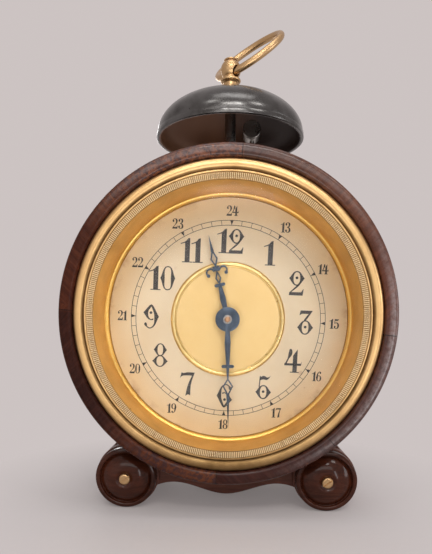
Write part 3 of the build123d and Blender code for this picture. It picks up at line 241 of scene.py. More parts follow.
def grey_ramp(tree, factor, stops):
    return ramp(tree, factor, [(position, (share, share, share)) for position, share in stops])


def new_group(name, inputs, outputs):
    tree = bpy.data.node_groups.new(name, "ShaderNodeTree")
    for label, kind, value in inputs:
        socket = tree.interface.new_socket(label, in_out="INPUT", socket_type=kind)
        if value is not None:
            socket.default_value = value
    for label, kind in outputs:
        tree.interface.new_socket(label, in_out="OUTPUT", socket_type=kind)
    return tree, tree.nodes.new("NodeGroupInput").outputs, tree.nodes.new("NodeGroupOutput").inputs


def new_material(name):
    material = bpy.data.materials.new(name)
    material.use_nodes = True
    tree = material.node_tree
    place_node = tree.nodes.new("ShaderNodeTexCoord")
    return material, tree, tree.nodes["Principled BSDF"], place_node.outputs["Object"]


def use_group(tree, group, sockets):
    return put(tree, "ShaderNodeGroup", {"node_tree": group}, sockets).outputs


def dress(tree, shader, colour, rough):
    tree.links.new(colour, shader.inputs["Base Color"])
    tree.links.new(rough, shader.inputs["Roughness"])


def mix_shaders(tree, share, first, second, output):
    both = put(tree, "ShaderNodeMixShader", None, {0: share, 1: first, 2: second})
    tree.links.new(both.outputs["Shader"], tree.nodes[output].inputs["Surface"])


def bump(tree, shader, height, strength, distance):
    sockets = {"Height": height, "Strength": strength, "Distance": distance}
    node = put(tree, "ShaderNodeBump", None, sockets)
    tree.links.new(node.outputs["Normal"], shader.inputs["Normal"])


colour_kind = "NodeSocketColor"
value_kind = "NodeSocketFloat"
vector_kind = "NodeSocketVector"

# Wood figure: streaks along X, dark pores and slow changes of tone
wood_figure, start, end = new_group(
    "wood figure",
    [
        ("Vector", vector_kind, None),
        ("Light", colour_kind, (0.3, 0.1, 0.05, 1)),
        ("Dark", colour_kind, (0.05, 0.02, 0.01, 1)),
        ("Pores", value_kind, 0.6),
    ],
    [("Colour", colour_kind), ("Roughness", value_kind), ("Height", value_kind)],
)
tree = wood_figure
streaks = noise(tree, mapped(tree, start["Vector"], (35, 520, 520)), 1.0, 5, 0.6, 0.4)
clouds = noise(tree, mapped(tree, start["Vector"], (25, 60, 60)), 1.0, 3, 0.5)
pores = noise(tree, mapped(tree, start["Vector"], (330, 4200, 4200)), 1.0, 2, 0.5)
pore_mask = times(tree, remap(tree, pores, 0.56, 0.68), start["Pores"])
tone = math_node(tree, "ADD", remap(tree, streaks, 0.3, 0.7, 0, 0.6), remap(tree, clouds, 0.3, 0.7, 0, 0.4))
figure_colour = blend_colour(tree, tone, start["Dark"], start["Light"])
pore_colour = blend_colour(tree, 0.75, figure_colour, start["Dark"])
figure_colour = blend_colour(tree, pore_mask, figure_colour, pore_colour)
tree.links.new(figure_colour, end["Colour"])
tree.links.new(remap(tree, streaks, 0.3, 0.7, 0.2, 0.32), end["Roughness"])
tree.links.new(math_node(tree, "SUBTRACT", 1.0, pore_mask), end["Height"])

# Tarnish: metal that has dulled in patches, with fine rubbed marks
tarnish, start, end = new_group(
    "tarnish",
    [
        ("Vector", vector_kind, None),
        ("Bright", colour_kind, (0.8, 0.6, 0.3, 1)),
        ("Dull", colour_kind, (0.4, 0.25, 0.1, 1)),
        ("Patch", value_kind, 90.0),
        ("Amount", value_kind, 0.5),
        ("Polish", value_kind, 0.2),
        ("Matt", value_kind, 0.45),
    ],
    [("Colour", colour_kind), ("Roughness", value_kind), ("Height", value_kind)],
)
tree = tarnish
patches = noise(tree, start["Vector"], start["Patch"], 6, 0.6, 0.3)
spots = noise(tree, start["Vector"], 900.0, 3, 0.6)
dulling = times(tree, remap(tree, patches, 0.35, 0.7), start["Amount"])
spotted = times(tree, remap(tree, spots, 0.6, 0.75), start["Amount"])
dulling = larger(tree, dulling, spotted)
rubbed = noise(tree, mapped(tree, start["Vector"], (300, 2500, 4000)), 1.0, 2, 0.5)
tree.links.new(
    blend_colour(tree, dulling, start["Bright"], start["Dull"]), end["Colour"]
)
shine = remap(tree, dulling, 0.0, 1.0, start["Polish"], start["Matt"])
tree.links.new(
    math_node(tree, "ADD", shine, remap(tree, rubbed, 0.4, 0.7, 0.0, 0.02)), end["Roughness"]
)
tree.links.new(rubbed, end["Height"])

# Specks: small scattered stains
specks, start, end = new_group(
    "specks",
    [("Vector", vector_kind, None), ("Scale", value_kind, 120.0), ("Size", value_kind, 0.12)],
    [("Mask", value_kind)],
)
tree = specks
cells = put(
    tree,
    "ShaderNodeTexVoronoi",
    None,
    {"Vector": start["Vector"], "Scale": start["Scale"], "Randomness": 1.0},
)
which = put(tree, "ShaderNodeSeparateColor", None, {"Color": cells.outputs["Color"]})
chosen = remap(tree, which.outputs["Red"], 0.7, 1.0)
near = times(tree, start["Size"], chosen)
edge = math_node(tree, "DIVIDE", cells.outputs["Distance"], larger(tree, near, 0.001))
tree.links.new(remap(tree, edge, 0.5, 1.0, 1.0, 0.0), end["Mask"])

# Where a point lies round the dial: its distance from the arbor and its turn
round_dial, start, end = new_group(
    "round the dial", [("Vector", vector_kind, None)], [("Radius", value_kind), ("Turn", value_kind)]
)
tree = round_dial
from_centre = mapped(tree, start["Vector"], location=(0, 0, -dial_height))
split_axes = put(tree, "ShaderNodeSeparateXYZ", None, {"Vector": from_centre}).outputs
squares = square_sum(tree, split_axes["X"], split_axes["Z"])
tree.links.new(math_node(tree, "SQRT", squares), end["Radius"])
bearing = math_node(tree, "ARCTAN2", split_axes["X"], split_axes["Z"])
tree.links.new(remap(tree, bearing, -math.pi, math.pi), end["Turn"])


def finish_wood(tree, shader, figure, colour, rough, coat, depth, sheen_spread):
    """Joins a wood figure to the shader: the grain under a thin polish."""
    dress(tree, shader, colour, rough)
    bump(tree, shader, figure, 0.3, depth)
    shader.inputs["Specular IOR Level"].default_value = 0.05
    shader.inputs["Coat Roughness"].default_value = sheen_spread
    if isinstance(coat, bpy.types.NodeSocket):
        tree.links.new(coat, shader.inputs["Coat Weight"])
    else:
        shader.inputs["Coat Weight"].default_value = coat


def wood_material(name, light, dark, gloss, grain_turn=(0, 0, 0), coat=0.5, pores=0.6, sheen_spread=0.2):
    material, tree, shader, spot = new_material(name)
    along_grain = mapped(tree, spot, rotation=grain_turn)
    sockets = {"Vector": along_grain, "Light": (*light, 1), "Dark": (*dark, 1), "Pores": pores}
    figure = use_group(tree, wood_figure, sockets)
    rough = math_node(tree, "ADD", figure["Roughness"], gloss)
    finish_wood(tree, shader, figure["Height"], figure["Colour"], rough, coat, 0.1 * mm, sheen_spread)
    return material


def worn_metal(tree, spot, bright, dull, patch, amount, polish, matt):
    sockets = {"Vector": spot, "Bright": (*bright, 1), "Dull": (*dull, 1)}
    sockets |= {"Patch": patch, "Amount": amount, "Polish": polish, "Matt": matt}
    return use_group(tree, tarnish, sockets)


def metal_material(name, bright, dull, patch, amount, polish, matt, marks=0.015):
    material, tree, shader, spot = new_material(name)
    worn = worn_metal(tree, spot, bright, dull, patch, amount, polish, matt)
    dress(tree, shader, worn["Colour"], worn["Roughness"])
    shader.inputs["Metallic"].default_value = 1.0
    bump(tree, shader, worn["Height"], marks, 0.03 * mm)
    return material


# Front ring: four glued segments of polished dark wood, each with its own tone and grain direction, with a
# painted sheen along the crown
ring_wood, tree, shader, spot = new_material("polished ring wood")
around = use_group(tree, round_dial, {"Vector": spot})
turn = around["Turn"]
joints = (0.009, 0.257, 0.513, 0.765)
crack_turn = 0.886
line_core, line_edge = 0.0002, 0.0006
quarter = math_node(tree, "FLOOR", times(tree, math_node(tree, "ADD", turn, 0.487), 4.0))
grain_angle = times(tree, math_node(tree, "ADD", quarter, 0.5), math.pi / 2)
centred = mapped(tree, spot, location=(0, 0, -dial_height))
turned_grain = put(
    tree, "ShaderNodeVectorRotate", {"rotation_type": "Y_AXIS"}, {"Vector": centred, "Angle": grain_angle}
).outputs["Vector"]
segment_stops = [
    (0.0, (0.08, 0.022, 0.014)), (0.009, (0.08, 0.022, 0.014)), (0.0093, (0.24, 0.075, 0.03)),
    (0.08, (0.17, 0.05, 0.022)), (0.14, (0.05, 0.015, 0.01)), (0.257, (0.06, 0.017, 0.01)),
    (0.2573, (0.12, 0.031, 0.014)), (0.34, (0.1, 0.03, 0.016)), (0.4, (0.27, 0.095, 0.045)),
    (0.513, (0.32, 0.115, 0.06)), (0.5133, (0.1, 0.045, 0.035)), (0.57, (0.2, 0.08, 0.045)),
    (0.66, (0.2, 0.068, 0.036)), (0.765, (0.17, 0.05, 0.028)), (0.7653, (0.13, 0.042, 0.027)),
    (0.9, (0.085, 0.027, 0.019)), (1.0, (0.08, 0.022, 0.014)),
]
segment_light = ramp(tree, turn, segment_stops)
outer_edge = remap(tree, around["Radius"], 65.6 * mm, 67.0 * mm, 0.0, 0.6)
segment_light = blend_colour(tree, outer_edge, segment_light, (0.15, 0.042, 0.02, 1))
segment_dark = blend_colour(tree, 1.0, segment_light, (0.2, 0.18, 0.22, 1), "MULTIPLY")
figure = use_group(
    tree, wood_figure, {"Vector": turned_grain, "Light": segment_light, "Dark": segment_dark, "Pores": 0.8}
)
joint_lines = 0.0
for joint in joints:
    gap = apart(tree, turn, joint)
    joint_lines = larger(tree, joint_lines, remap(tree, gap, line_core, line_edge, 1.0, 0.0))
crack = apart(tree, turn, crack_turn)
crack = times(tree, remap(tree, crack, line_core, line_edge, 1.0, 0.0), 0.8)
joint_lines = larger(tree, joint_lines, crack)
flakes = remap(tree, noise(tree, spot, 620.0, 4, 0.65, 0.5), 0.46, 0.56)
top_flakes = times(tree, remap(tree, turn, 0.36, 0.41), math_node(tree, "LESS_THAN", turn, 0.513))
low_flakes = times(tree, remap(tree, turn, 0.09, 0.12, 1.0, 0.0), math_node(tree, "GREATER_THAN", turn, 0.009))
worn_parts = larger(tree, top_flakes, low_flakes)
flakes = times(tree, flakes, remap(tree, worn_parts, 0.0, 1.0, 0.12, 0.85))
ring_colour = blend_colour(tree, flakes, figure["Colour"], (0.042, 0.02, 0.022, 1))
# Painted sheen: a pale lavender-grey band along the crown, strongest at the right and the top left, standing in
# for a reflection
sheen_paint_stops = [(0.0, 0.0), (0.36, 0.0), (0.42, 0.25), (0.5, 0.35), (0.53, 0.12)]
sheen_paint_stops += [(0.66, 0.15), (0.73, 0.55), (0.79, 0.55), (0.88, 0.36), (0.96, 0.0)]
sheen_paint_share = grey_ramp(tree, turn, sheen_paint_stops)
off_crown = apart(tree, around["Radius"], 64.7 * mm)
painted_sheen = times(tree, sheen_paint_share, remap(tree, off_crown, 0.5 * mm, 1.9 * mm, 1.0, 0.0))
painted_sheen = times(tree, painted_sheen, remap(tree, noise(tree, spot, 600.0, 4, 0.7), 0.36, 0.62, 0.3, 1.0))
ring_colour = blend_colour(tree, painted_sheen, ring_colour, (0.34, 0.27, 0.26, 1))
ring_colour = blend_colour(tree, joint_lines, ring_colour, (0.012, 0.006, 0.004, 1))
rub = remap(tree, noise(tree, spot, 70.0, 5, 0.65), 0.5, 0.75, 0.0, 0.2)
rough = math_node(tree, "ADD", figure["Roughness"], rub)
relief = math_node(tree, "SUBTRACT", figure["Height"], joint_lines)
relief = math_node(tree, "SUBTRACT", relief, times(tree, flakes, 0.35))
polish_stops = [(0.0, 0.25), (0.06, 0.15), (0.14, 0.06), (0.34, 0.08), (0.42, 0.5)]
polish_stops += [(0.56, 0.6), (0.7, 0.45), (0.76, 1.0), (0.82, 1.0), (0.94, 0.4)]
polish_left = grey_ramp(tree, turn, polish_stops)
polish_left = times(tree, polish_left, remap(tree, figure["Roughness"], 0.2, 0.32, 1.0, 0.75))
finish_wood(tree, shader, relief, ring_colour, rough, polish_left, 0.12 * mm, 0.15)

rosette_wood = wood_material(
    "polished rosette wood",
    (0.085, 0.021, 0.009),
    (0.016, 0.005, 0.003),
    0.0,
    coat=0.35,
    pores=0.4,
    sheen_spread=0.1,
)
case_wood = wood_material(
    "case wood", (0.1, 0.03, 0.014), (0.024, 0.009, 0.006), 0.1, (0, 0, math.pi / 2), coat=0.25
)
board_wood = wood_material("board wood", (0.16, 0.062, 0.027), (0.055, 0.021, 0.01), 0.22, coat=0.08)
apron_wood = wood_material("apron wood", (0.23, 0.085, 0.055), (0.075, 0.029, 0.021), 0.12, coat=0.3)

# Metals
brass = metal_material("worn brass", (0.78, 0.54, 0.22), (0.3, 0.17, 0.06), 110, 0.6, 0.2, 0.45)
old_brass = metal_material("old brass", (0.58, 0.38, 0.19), (0.34, 0.2, 0.1), 60, 0.3, 0.34, 0.44, 0.002)
plate_brass = metal_material("plate brass", (0.72, 0.52, 0.22), (0.4, 0.26, 0.1), 60, 0.5, 0.3, 0.5)
bead_gilt = metal_material("bead gilt", (0.78, 0.6, 0.27), (0.42, 0.28, 0.1), 160, 0.5, 0.26, 0.42, 0.006)
blued = metal_material("blued steel", (0.075, 0.097, 0.13), (0.026, 0.03, 0.037), 200, 0.6, 0.3, 0.5)
steel = metal_material("bright steel", (0.5, 0.49, 0.47), (0.2, 0.17, 0.14), 130, 0.7, 0.22, 0.45)
spring_steel = metal_material("spring steel", (0.3, 0.31, 0.35), (0.14, 0.13, 0.14), 130, 0.5, 0.25, 0.45)
ridge_brass = metal_material("ridge brass", (0.92, 0.77, 0.5), (0.66, 0.47, 0.22), 120, 0.4, 0.25, 0.4)
pin_copper = metal_material("pin copper", (0.55, 0.34, 0.2), (0.25, 0.13, 0.07), 400, 0.6, 0.25, 0.45)


def ring_metal(name, bright, dull, shade_and_pit_colour, shaded_grooves, low_shade, polish, matt):
    """Metal of a ring round the dial, with painted shade darkening it low down and in its grooves, given as
    (radius, half width, share) each, and with small dark pits.
    """
    material, tree, shader, spot = new_material(name)
    around = use_group(tree, round_dial, {"Vector": spot})
    worn = worn_metal(tree, spot, bright, dull, 85.0, 0.55, polish, matt)
    shade_and_pits = 0.0
    # Painted shade in each groove, strongest at its middle
    for radius, half, share in shaded_grooves:
        gap = apart(tree, around["Radius"], radius * mm)
        groove_shade = remap(tree, gap, half * 0.35 * mm, half * mm, share, 0.0)
        shade_and_pits = larger(tree, shade_and_pits, groove_shade)
    # Painted shade, growing towards the bottom of the ring
    from_top = apart(tree, around["Turn"], 0.5)
    shade_and_pits = larger(tree, shade_and_pits, remap(tree, from_top, 0.3, 0.48, 0.0, low_shade))
    streaky = remap(tree, noise(tree, spot, 150.0, 4, 0.6), 0.3, 0.7, 0.75, 1.0)
    shade_and_pits = times(tree, shade_and_pits, streaky)
    pits = use_group(tree, specks, {"Vector": spot, "Scale": 150.0, "Size": 0.1})["Mask"]
    shade_and_pits = larger(tree, shade_and_pits, times(tree, pits, 0.6))
    shaded_and_pitted = blend_colour(tree, shade_and_pits, worn["Colour"], (*shade_and_pit_colour, 1))
    dress(tree, shader, shaded_and_pitted, math_node(tree, "ADD", worn["Roughness"], times(tree, shade_and_pits, 0.25)))
    shader.inputs["Metallic"].default_value = 1.0
    bump(tree, shader, worn["Height"], 0.012, 0.03 * mm)
    return material


# Bezel brass with painted shade in the valley by the bead, at the wood and under the ridges, and strongest low
# down
bezel_brass = ring_metal(
    "bezel brass",
    (0.8, 0.53, 0.24),
    (0.5, 0.29, 0.115),
    (0.12, 0.06, 0.018),
    [(57.2, 0.9, 0.85), (61.4, 0.5, 0.7), (54.5, 1.8, 0.7)],
    0.85,
    0.32,
    0.46,
)
# Sight ring gilt with painted shade under the glass lip and at the foot of its bead, and a little low down
gilt = ring_metal(
    "gilt",
    (0.82, 0.52, 0.14),
    (0.56, 0.32, 0.08),
    (0.2, 0.1, 0.03),
    [(55.8, 0.7, 0.7), (52.7, 0.3, 0.6)],
    0.12,
    0.3,
    0.45,
)

# Bell: dark burnished steel, brown with age inside, the inside darker towards +X as painted shade
bell_steel, tree, shader, spot = new_material("bell steel")
worn = worn_metal(tree, spot, (0.15, 0.147, 0.144), (0.036, 0.032, 0.029), 75.0, 0.9, 0.18, 0.32)
axes = put(tree, "ShaderNodeSeparateXYZ", None, {"Vector": spot}).outputs
wide = square_sum(tree, axes["X"], axes["Y"])
wide = math_node(tree, "DIVIDE", wide, ((bell_radius - bell_wall / 2) * mm) ** 2)
tall = larger(tree, math_node(tree, "SUBTRACT", axes["Z"], dial_height + bell_base * mm), 0.0)
tall = math_node(tree, "POWER", math_node(tree, "DIVIDE", tall, (bell_height - bell_wall / 2) * mm), 2.0)
inside = math_node(tree, "LESS_THAN", math_node(tree, "ADD", wide, tall), 1.0)
# Painted shade: the inside turns from lit brown at -X to dark at +X
inside_side_shade = remap(tree, axes["X"], -8 * mm, 14 * mm)
patina_and_shade = blend_colour(tree, inside_side_shade, (0.26, 0.12, 0.06, 1), (0.04, 0.022, 0.016, 1))
bell_colour = blend_colour(tree, inside, worn["Colour"], patina_and_shade)
dress(tree, shader, bell_colour, math_node(tree, "ADD", worn["Roughness"], times(tree, inside, 0.2)))
tree.links.new(remap(tree, inside, 0.0, 1.0, 1.0, 0.15), shader.inputs["Metallic"])
bump(tree, shader, worn["Height"], 0.03, 0.03 * mm)

# Dial centre: satin gilt with a few dark spots
centre_gilt, tree, shader, spot = new_material("satin gilt centre")
worn = worn_metal(tree, spot, (0.73, 0.525, 0.235), (0.64, 0.43, 0.17), 55.0, 0.5, 0.42, 0.55)
spot_mask = use_group(tree, specks, {"Vector": spot, "Scale": 160.0, "Size": 0.1})["Mask"]
centre_colour = blend_colour(tree, times(tree, spot_mask, 0.6), worn["Colour"], (0.25, 0.14, 0.05, 1))
dress(tree, shader, centre_colour, worn["Roughness"])
shader.inputs["Metallic"].default_value = 0.55
bump(tree, shader, worn["Height"], 0.05, 0.03 * mm)

# Dial paint: cream, warmer and stained towards the rim
dial_paint, tree, shader, spot = new_material("dial paint")
around = use_group(tree, round_dial, {"Vector": spot})
mottle = noise(tree, spot, 60.0, 5, 0.6)
cream = blend_colour(tree, remap(tree, mottle, 0.3, 0.7), (0.78, 0.63, 0.43, 1), (0.83, 0.7, 0.51, 1))
rim_warm = remap(tree, around["Radius"], 40 * mm, 54 * mm, 0.0, 0.4)
cream = blend_colour(tree, rim_warm, cream, (0.74, 0.52, 0.27, 1))
big_spots = use_group(tree, specks, {"Vector": spot, "Scale": 90.0, "Size": 0.14})["Mask"]
small_spots = use_group(tree, specks, {"Vector": spot, "Scale": 230.0, "Size": 0.12})["Mask"]
rim_share = remap(tree, around["Radius"], 30 * mm, 52 * mm, 0.1, 0.55)
stained = times(tree, larger(tree, big_spots, small_spots), rim_share)
edge_stain = remap(tree, noise(tree, spot, 130.0, 4, 0.6), 0.52, 0.68)
edge_stain = times(tree, edge_stain, remap(tree, around["Radius"], 49.5 * mm, 53 * mm, 0.0, 0.6))
stained = larger(tree, stained, edge_stain)
cream = blend_colour(tree, stained, cream, (0.4, 0.2, 0.085, 1))
dress(tree, shader, cream, remap(tree, mottle, 0.3, 0.7, 0.45, 0.6))
bump(tree, shader, mottle, 0.04, 0.05 * mm)

# Printing ink, slightly worn
ink, tree, shader, spot = new_material("printing ink")
worn_ink = remap(tree, noise(tree, spot, 900.0, 3, 0.6), 0.4, 0.75)
ink_colour = blend_colour(tree, worn_ink, (0.026, 0.023, 0.022, 1), (0.075, 0.062, 0.055, 1))
dress(tree, shader, ink_colour, remap(tree, worn_ink, 0.0, 1.0, 0.4, 0.6))

# Clear convex glass that lets light through to the dial
clear_glass, tree, shader, spot = new_material("clear glass")
shader.inputs["Base Color"].default_value = (1.0, 1.0, 1.0, 1)
shader.inputs["Transmission Weight"].default_value = 1.0
shader.inputs["IOR"].default_value = 1.01
shader.inputs["Roughness"].default_value = 0.0
smear = noise(tree, spot, 45.0, 4, 0.6)
tree.links.new(remap(tree, smear, 0.3, 0.8, 0.05, 0.14), shader.inputs["Coat Weight"])
shader.inputs["Coat Roughness"].default_value = 0.2
rays = tree.nodes.new("ShaderNodeLightPath")
through = larger(tree, rays.outputs["Is Shadow Ray"], rays.outputs["Is Diffuse Ray"])
clear = tree.nodes.new("ShaderNodeBsdfTransparent")
mix_shaders(tree, through, shader.outputs["BSDF"], clear.outputs["BSDF"], "Material Output")

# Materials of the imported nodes
finishes = {}
for material, parts in (
    (ring_wood, "front_ring"),
    (case_wood, "case_drum"),
    (apron_wood, "base_cradle"),
    (board_wood, "back_board dial_ledge"),
    (rosette_wood, "foot_rosette_left foot_rosette_right"),
    (bezel_brass, "bezel"),
    (gilt, "sight_ring"),
    (centre_gilt, "dial_centre"),
    (bead_gilt, "dial_bead"),
    (clear_glass, "glass"),
    (dial_paint, "dial"),
    (blued, "hour_hand minute_hand hairspring"),
    (bell_steel, "bell"),
    (pin_copper, "centre_arbor"),
    (old_brass, "foot_screws finial ring_handle"),
    (plate_brass, "front_plate back_plate"),
    (spring_steel, "time_mainspring alarm_mainspring alarm_spring"),
    (steel, "bell_post post_nut hammer hammer_head back_screws movement_screws pillar_screws cannon_pinion"),
    (steel, "pallet_lever regulator_lever stop_lever time_winding_arbor alarm_winding_arbor"),
    (steel, "time_click alarm_click alarm_arbor"),
):
    for part in parts.split():
        finishes[part] = material
for part, node in nodes.items():
    node.data.materials.clear()
    node.data.materials.append(finishes.get(part, brass))

# Figures of the dial: strokes one unit high, as outlines and holes; a third value marks a sharp corner
corner = 1


def ball(x, y, radius):
    return [[(x, y + radius), (x + radius, y), (x, y - radius), (x - radius, y)]]


def lozenge(x, y, half_width, half_height, stem, hair):
    """A bowl with a pointed outside and an oval inside."""
    outside = [(x, y + half_height), (x + half_width, y, corner)]
    outside += [(x, y - half_height), (x - half_width, y, corner)]
    inner_width = half_width - stem
    inner_height = half_height - hair
    inside = [(x, y + inner_height), (x - inner_width, y), (x, y - inner_height), (x + inner_width, y)]
    return [outside, inside]


def mirrored(strokes):
    """A figure turned upside down."""
    return [[[(-p[0], 1 - p[1], *p[2:]) for p in outline] for outline in stroke] for stroke in strokes]


low_bowl = [lozenge(0.02, 0.3, 0.33, 0.3, 0.19, 0.045), ball(0.02, 0.32, 0.055)]
nine = [
    [[
        (0.0, 1.0), (0.33, 0.5, corner), (0.0, 0.0), (-0.2, 0.07), (-0.28, 0.2), (-0.22, 0.24), (-0.17, 0.18),
        (-0.16, 0.1), (0.0, 0.045), (0.14, 0.5), (0.0, 0.955),
    ]],
    [[
        (0.02, 1.0), (-0.33, 0.66, corner), (-0.02, 0.35), (0.1, 0.4),
        (-0.02, 0.39), (-0.13, 0.66), (0.02, 0.955),
    ]],
    ball(-0.01, 0.66, 0.055),
]
figures = {
    "0": [lozenge(0.0, 0.5, 0.31, 0.5, 0.18, 0.04)],
    "1": [
        [[
            (0.14, 1.0, corner), (0.14, 0.035, corner), (0.25, 0.035, corner), (0.25, 0.0, corner),
            (-0.17, 0.0, corner), (-0.17, 0.035, corner), (-0.06, 0.035, corner), (-0.06, 0.8, corner),
            (-0.13, 0.78), (-0.24, 0.745, corner), (-0.24, 0.78, corner), (-0.05, 0.86), (0.06, 0.98, corner),
        ]]
    ],
    "2": [
        lozenge(0.0, 0.7, 0.32, 0.3, 0.18, 0.045),
        ball(0.0, 0.72, 0.055),
        [[
            (0.24, 0.62, corner), (0.1, 0.4), (-0.2, 0.14, corner),
            (-0.28, 0.12, corner), (0.02, 0.42), (0.16, 0.6, corner),
        ]],
        [[
            (-0.28, 0.13, corner), (0.2, 0.13, corner), (0.28, 0.26, corner), (0.3, 0.26, corner),
            (0.27, 0.0, corner), (-0.3, 0.0, corner),
        ]],
    ],
    "3": low_bowl
    + [
        [[
            (-0.24, 0.8, corner), (-0.2, 1.0, corner), (0.3, 1.0, corner), (0.12, 0.72), (0.02, 0.58, corner),
            (-0.06, 0.58, corner), (0.04, 0.74), (0.14, 0.87, corner), (-0.14, 0.87, corner),
        ]]
    ],
    "4": [
        [[
            (0.2, 0.98, corner), (0.2, 0.035, corner), (0.29, 0.035, corner), (0.29, 0.0, corner),
            (-0.08, 0.0, corner), (-0.08, 0.035, corner), (0.02, 0.035, corner), (0.02, 0.72, corner),
        ]],
        [[
            (-0.1, 1.0), (-0.02, 0.82), (-0.16, 0.56), (-0.24, 0.37, corner),
            (-0.31, 0.37, corner), (-0.2, 0.62), (-0.16, 0.86),
        ]],
        [[
            (-0.33, 0.39, corner), (0.36, 0.39, corner), (0.4, 0.47, corner), (0.36, 0.3, corner),
            (-0.33, 0.3, corner),
        ]],
    ],
    "5": low_bowl
    + [
        [[(-0.15, 0.98, corner), (-0.11, 0.98, corner), (-0.14, 0.5, corner), (-0.18, 0.5, corner)]],
        [[
            (-0.15, 0.86), (0.0, 0.99), (0.18, 0.93), (0.31, 1.0, corner),
            (0.16, 0.83), (0.0, 0.84), (-0.14, 0.8, corner),
        ]],
    ],
    "6": mirrored(nine),
    "7": [
        [[
            (-0.3, 0.76, corner), (-0.24, 1.0, corner), (-0.2, 0.97), (0.0, 1.0), (0.31, 1.0, corner),
            (0.17, 0.5), (0.15, 0.02, corner), (0.06, 0.06), (-0.05, 0.0, corner), (0.04, 0.45),
            (0.2, 0.87, corner), (-0.06, 0.87), (-0.22, 0.84),
        ]]
    ],
    "8": [lozenge(0.0, 0.73, 0.28, 0.27, 0.16, 0.04), lozenge(0.0, 0.25, 0.33, 0.25, 0.18, 0.04)],
    "9": nine,
}
figure_widths = {"1": 0.44, "0": 0.64, "4": 0.68}


def oval(x, y, half_width, half_height, stem, hair):
    """A round bowl, heavy at its sides."""
    rings = []
    for wide, tall in ((half_width, half_height), (half_width - stem, half_height - hair)):
        rings.append([(x, y + tall), (x + wide, y), (x, y - tall), (x - wide, y)])
    return rings


six = [
    oval(0.0, 0.3, 0.28, 0.3, 0.15, 0.04),
    [[
        (-0.28, 0.3), (-0.27, 0.5), (-0.14, 0.85), (0.08, 1.0), (0.22, 0.92), (0.16, 0.86), (0.05, 0.95),
        (-0.06, 0.82), (-0.13, 0.5), (-0.13, 0.3),
    ]],
    ball(0.16, 0.86, 0.08),
]
day_figures = {
    "0": [oval(0.0, 0.5, 0.28, 0.5, 0.16, 0.04)],
    "2": [
        ball(-0.17, 0.75, 0.085),
        [[
            (-0.25, 0.75), (-0.18, 0.93), (0.0, 1.0), (0.2, 0.94), (0.28, 0.75), (0.2, 0.54), (0.0, 0.34),
            (-0.16, 0.15, corner), (0.2, 0.15, corner), (0.27, 0.28, corner), (0.31, 0.28, corner),
            (0.27, 0.0, corner), (-0.29, 0.0, corner), (-0.28, 0.06), (-0.02, 0.36), (0.1, 0.56), (0.12, 0.76),
            (0.06, 0.92), (-0.04, 0.955), (-0.13, 0.9), (-0.18, 0.75),
        ]],
    ],
    "3": [
        ball(-0.17, 0.79, 0.085),
        ball(-0.18, 0.2, 0.09),
        [[
            (-0.25, 0.8), (-0.12, 0.97), (0.04, 1.0), (0.22, 0.91), (0.25, 0.75), (0.14, 0.57), (0.07, 0.53),
            (0.2, 0.46), (0.29, 0.27), (0.22, 0.07), (0.02, 0.0), (-0.16, 0.04), (-0.27, 0.19), (-0.19, 0.2),
            (-0.1, 0.06), (0.0, 0.045), (0.1, 0.12), (0.12, 0.28), (0.07, 0.44), (-0.06, 0.5), (-0.06, 0.55),
            (0.06, 0.61), (0.09, 0.75), (0.07, 0.9), (0.0, 0.955), (-0.1, 0.91), (-0.18, 0.8),
        ]],
    ],
    "5": [
        ball(-0.17, 0.2, 0.085),
        [[(-0.19, 0.98, corner), (-0.14, 0.98, corner), (-0.17, 0.54, corner), (-0.22, 0.54, corner)]],
        [[(-0.18, 0.98, corner), (0.2, 0.98), (0.26, 1.0, corner), (0.14, 0.84), (-0.16, 0.84, corner)]],
        [[
            (-0.21, 0.55, corner), (-0.05, 0.64), (0.1, 0.63), (0.26, 0.5), (0.29, 0.3), (0.2, 0.08),
            (0.0, 0.0), (-0.17, 0.05), (-0.26, 0.19), (-0.18, 0.2), (-0.1, 0.06), (0.0, 0.045), (0.1, 0.13),
            (0.13, 0.3), (0.1, 0.5), (0.0, 0.59), (-0.1, 0.57),
        ]],
    ],
    "6": six,
    "8": [oval(0.0, 0.745, 0.24, 0.255, 0.13, 0.04), oval(0.0, 0.265, 0.28, 0.265, 0.15, 0.04)],
    "9": mirrored(six),
}


def stroke_shape(outlines, height, squeeze, shift, swell):
    """One stroke of a figure as a thin flat mesh, height in millimetres."""
    curve = bpy.data.curves.new("stroke", "CURVE")
    curve.dimensions = "2D"
    curve.fill_mode = "BOTH"
    curve.resolution_u = 6
    curve.extrude = ink_height / 2
    curve.offset = swell * mm
    for outline in outlines:
        spline = curve.splines.new("BEZIER")
        spline.bezier_points.add(len(outline) - 1)
        spline.use_cyclic_u = True
        for point, target in zip(spline.bezier_points, outline):
            sharp = len(target) > 2
            point.handle_left_type = point.handle_right_type = "VECTOR" if sharp else "AUTO"
            point.co = ((shift + target[0] * squeeze) * height * mm, (target[1] - 0.5) * height * mm, 0)
    piece = bpy.data.objects.new("stroke", curve)
    bpy.context.scene.collection.objects.link(piece)
    only_selected(piece)
    bpy.context.view_layer.update()
    bpy.ops.object.convert(target="MESH")
    return bpy.context.view_layer.objects.active


def figure_shape(text, height, forms, squeeze, swell):
    """A number of one or two figures, centred on its middle."""
    widths = [figure_widths.get(sign, 0.66) * squeeze for sign in text]
    left = -sum(widths) / 2
    strokes = []
    for sign, width in zip(text, widths):
        for outlines in forms[sign]:
            strokes.append(stroke_shape(outlines, height, squeeze, left + width / 2, swell))
        left += width
    return join_pieces(strokes)


def on_dial(piece, ring, hour):
    """Stands a flat piece upright on the dial at an hour of a ring, in millimetres."""
    turn = math.radians(30 * hour) - print_turn
    spot = place(ring * math.sin(turn), 0, ring * math.cos(turn)) + Vector((0, -ink_lift, 0))
    piece.matrix_world = Matrix.Translation(spot) @ Euler((math.pi / 2, -print_turn, 0)).to_matrix().to_4x4()
    apply_place(piece)


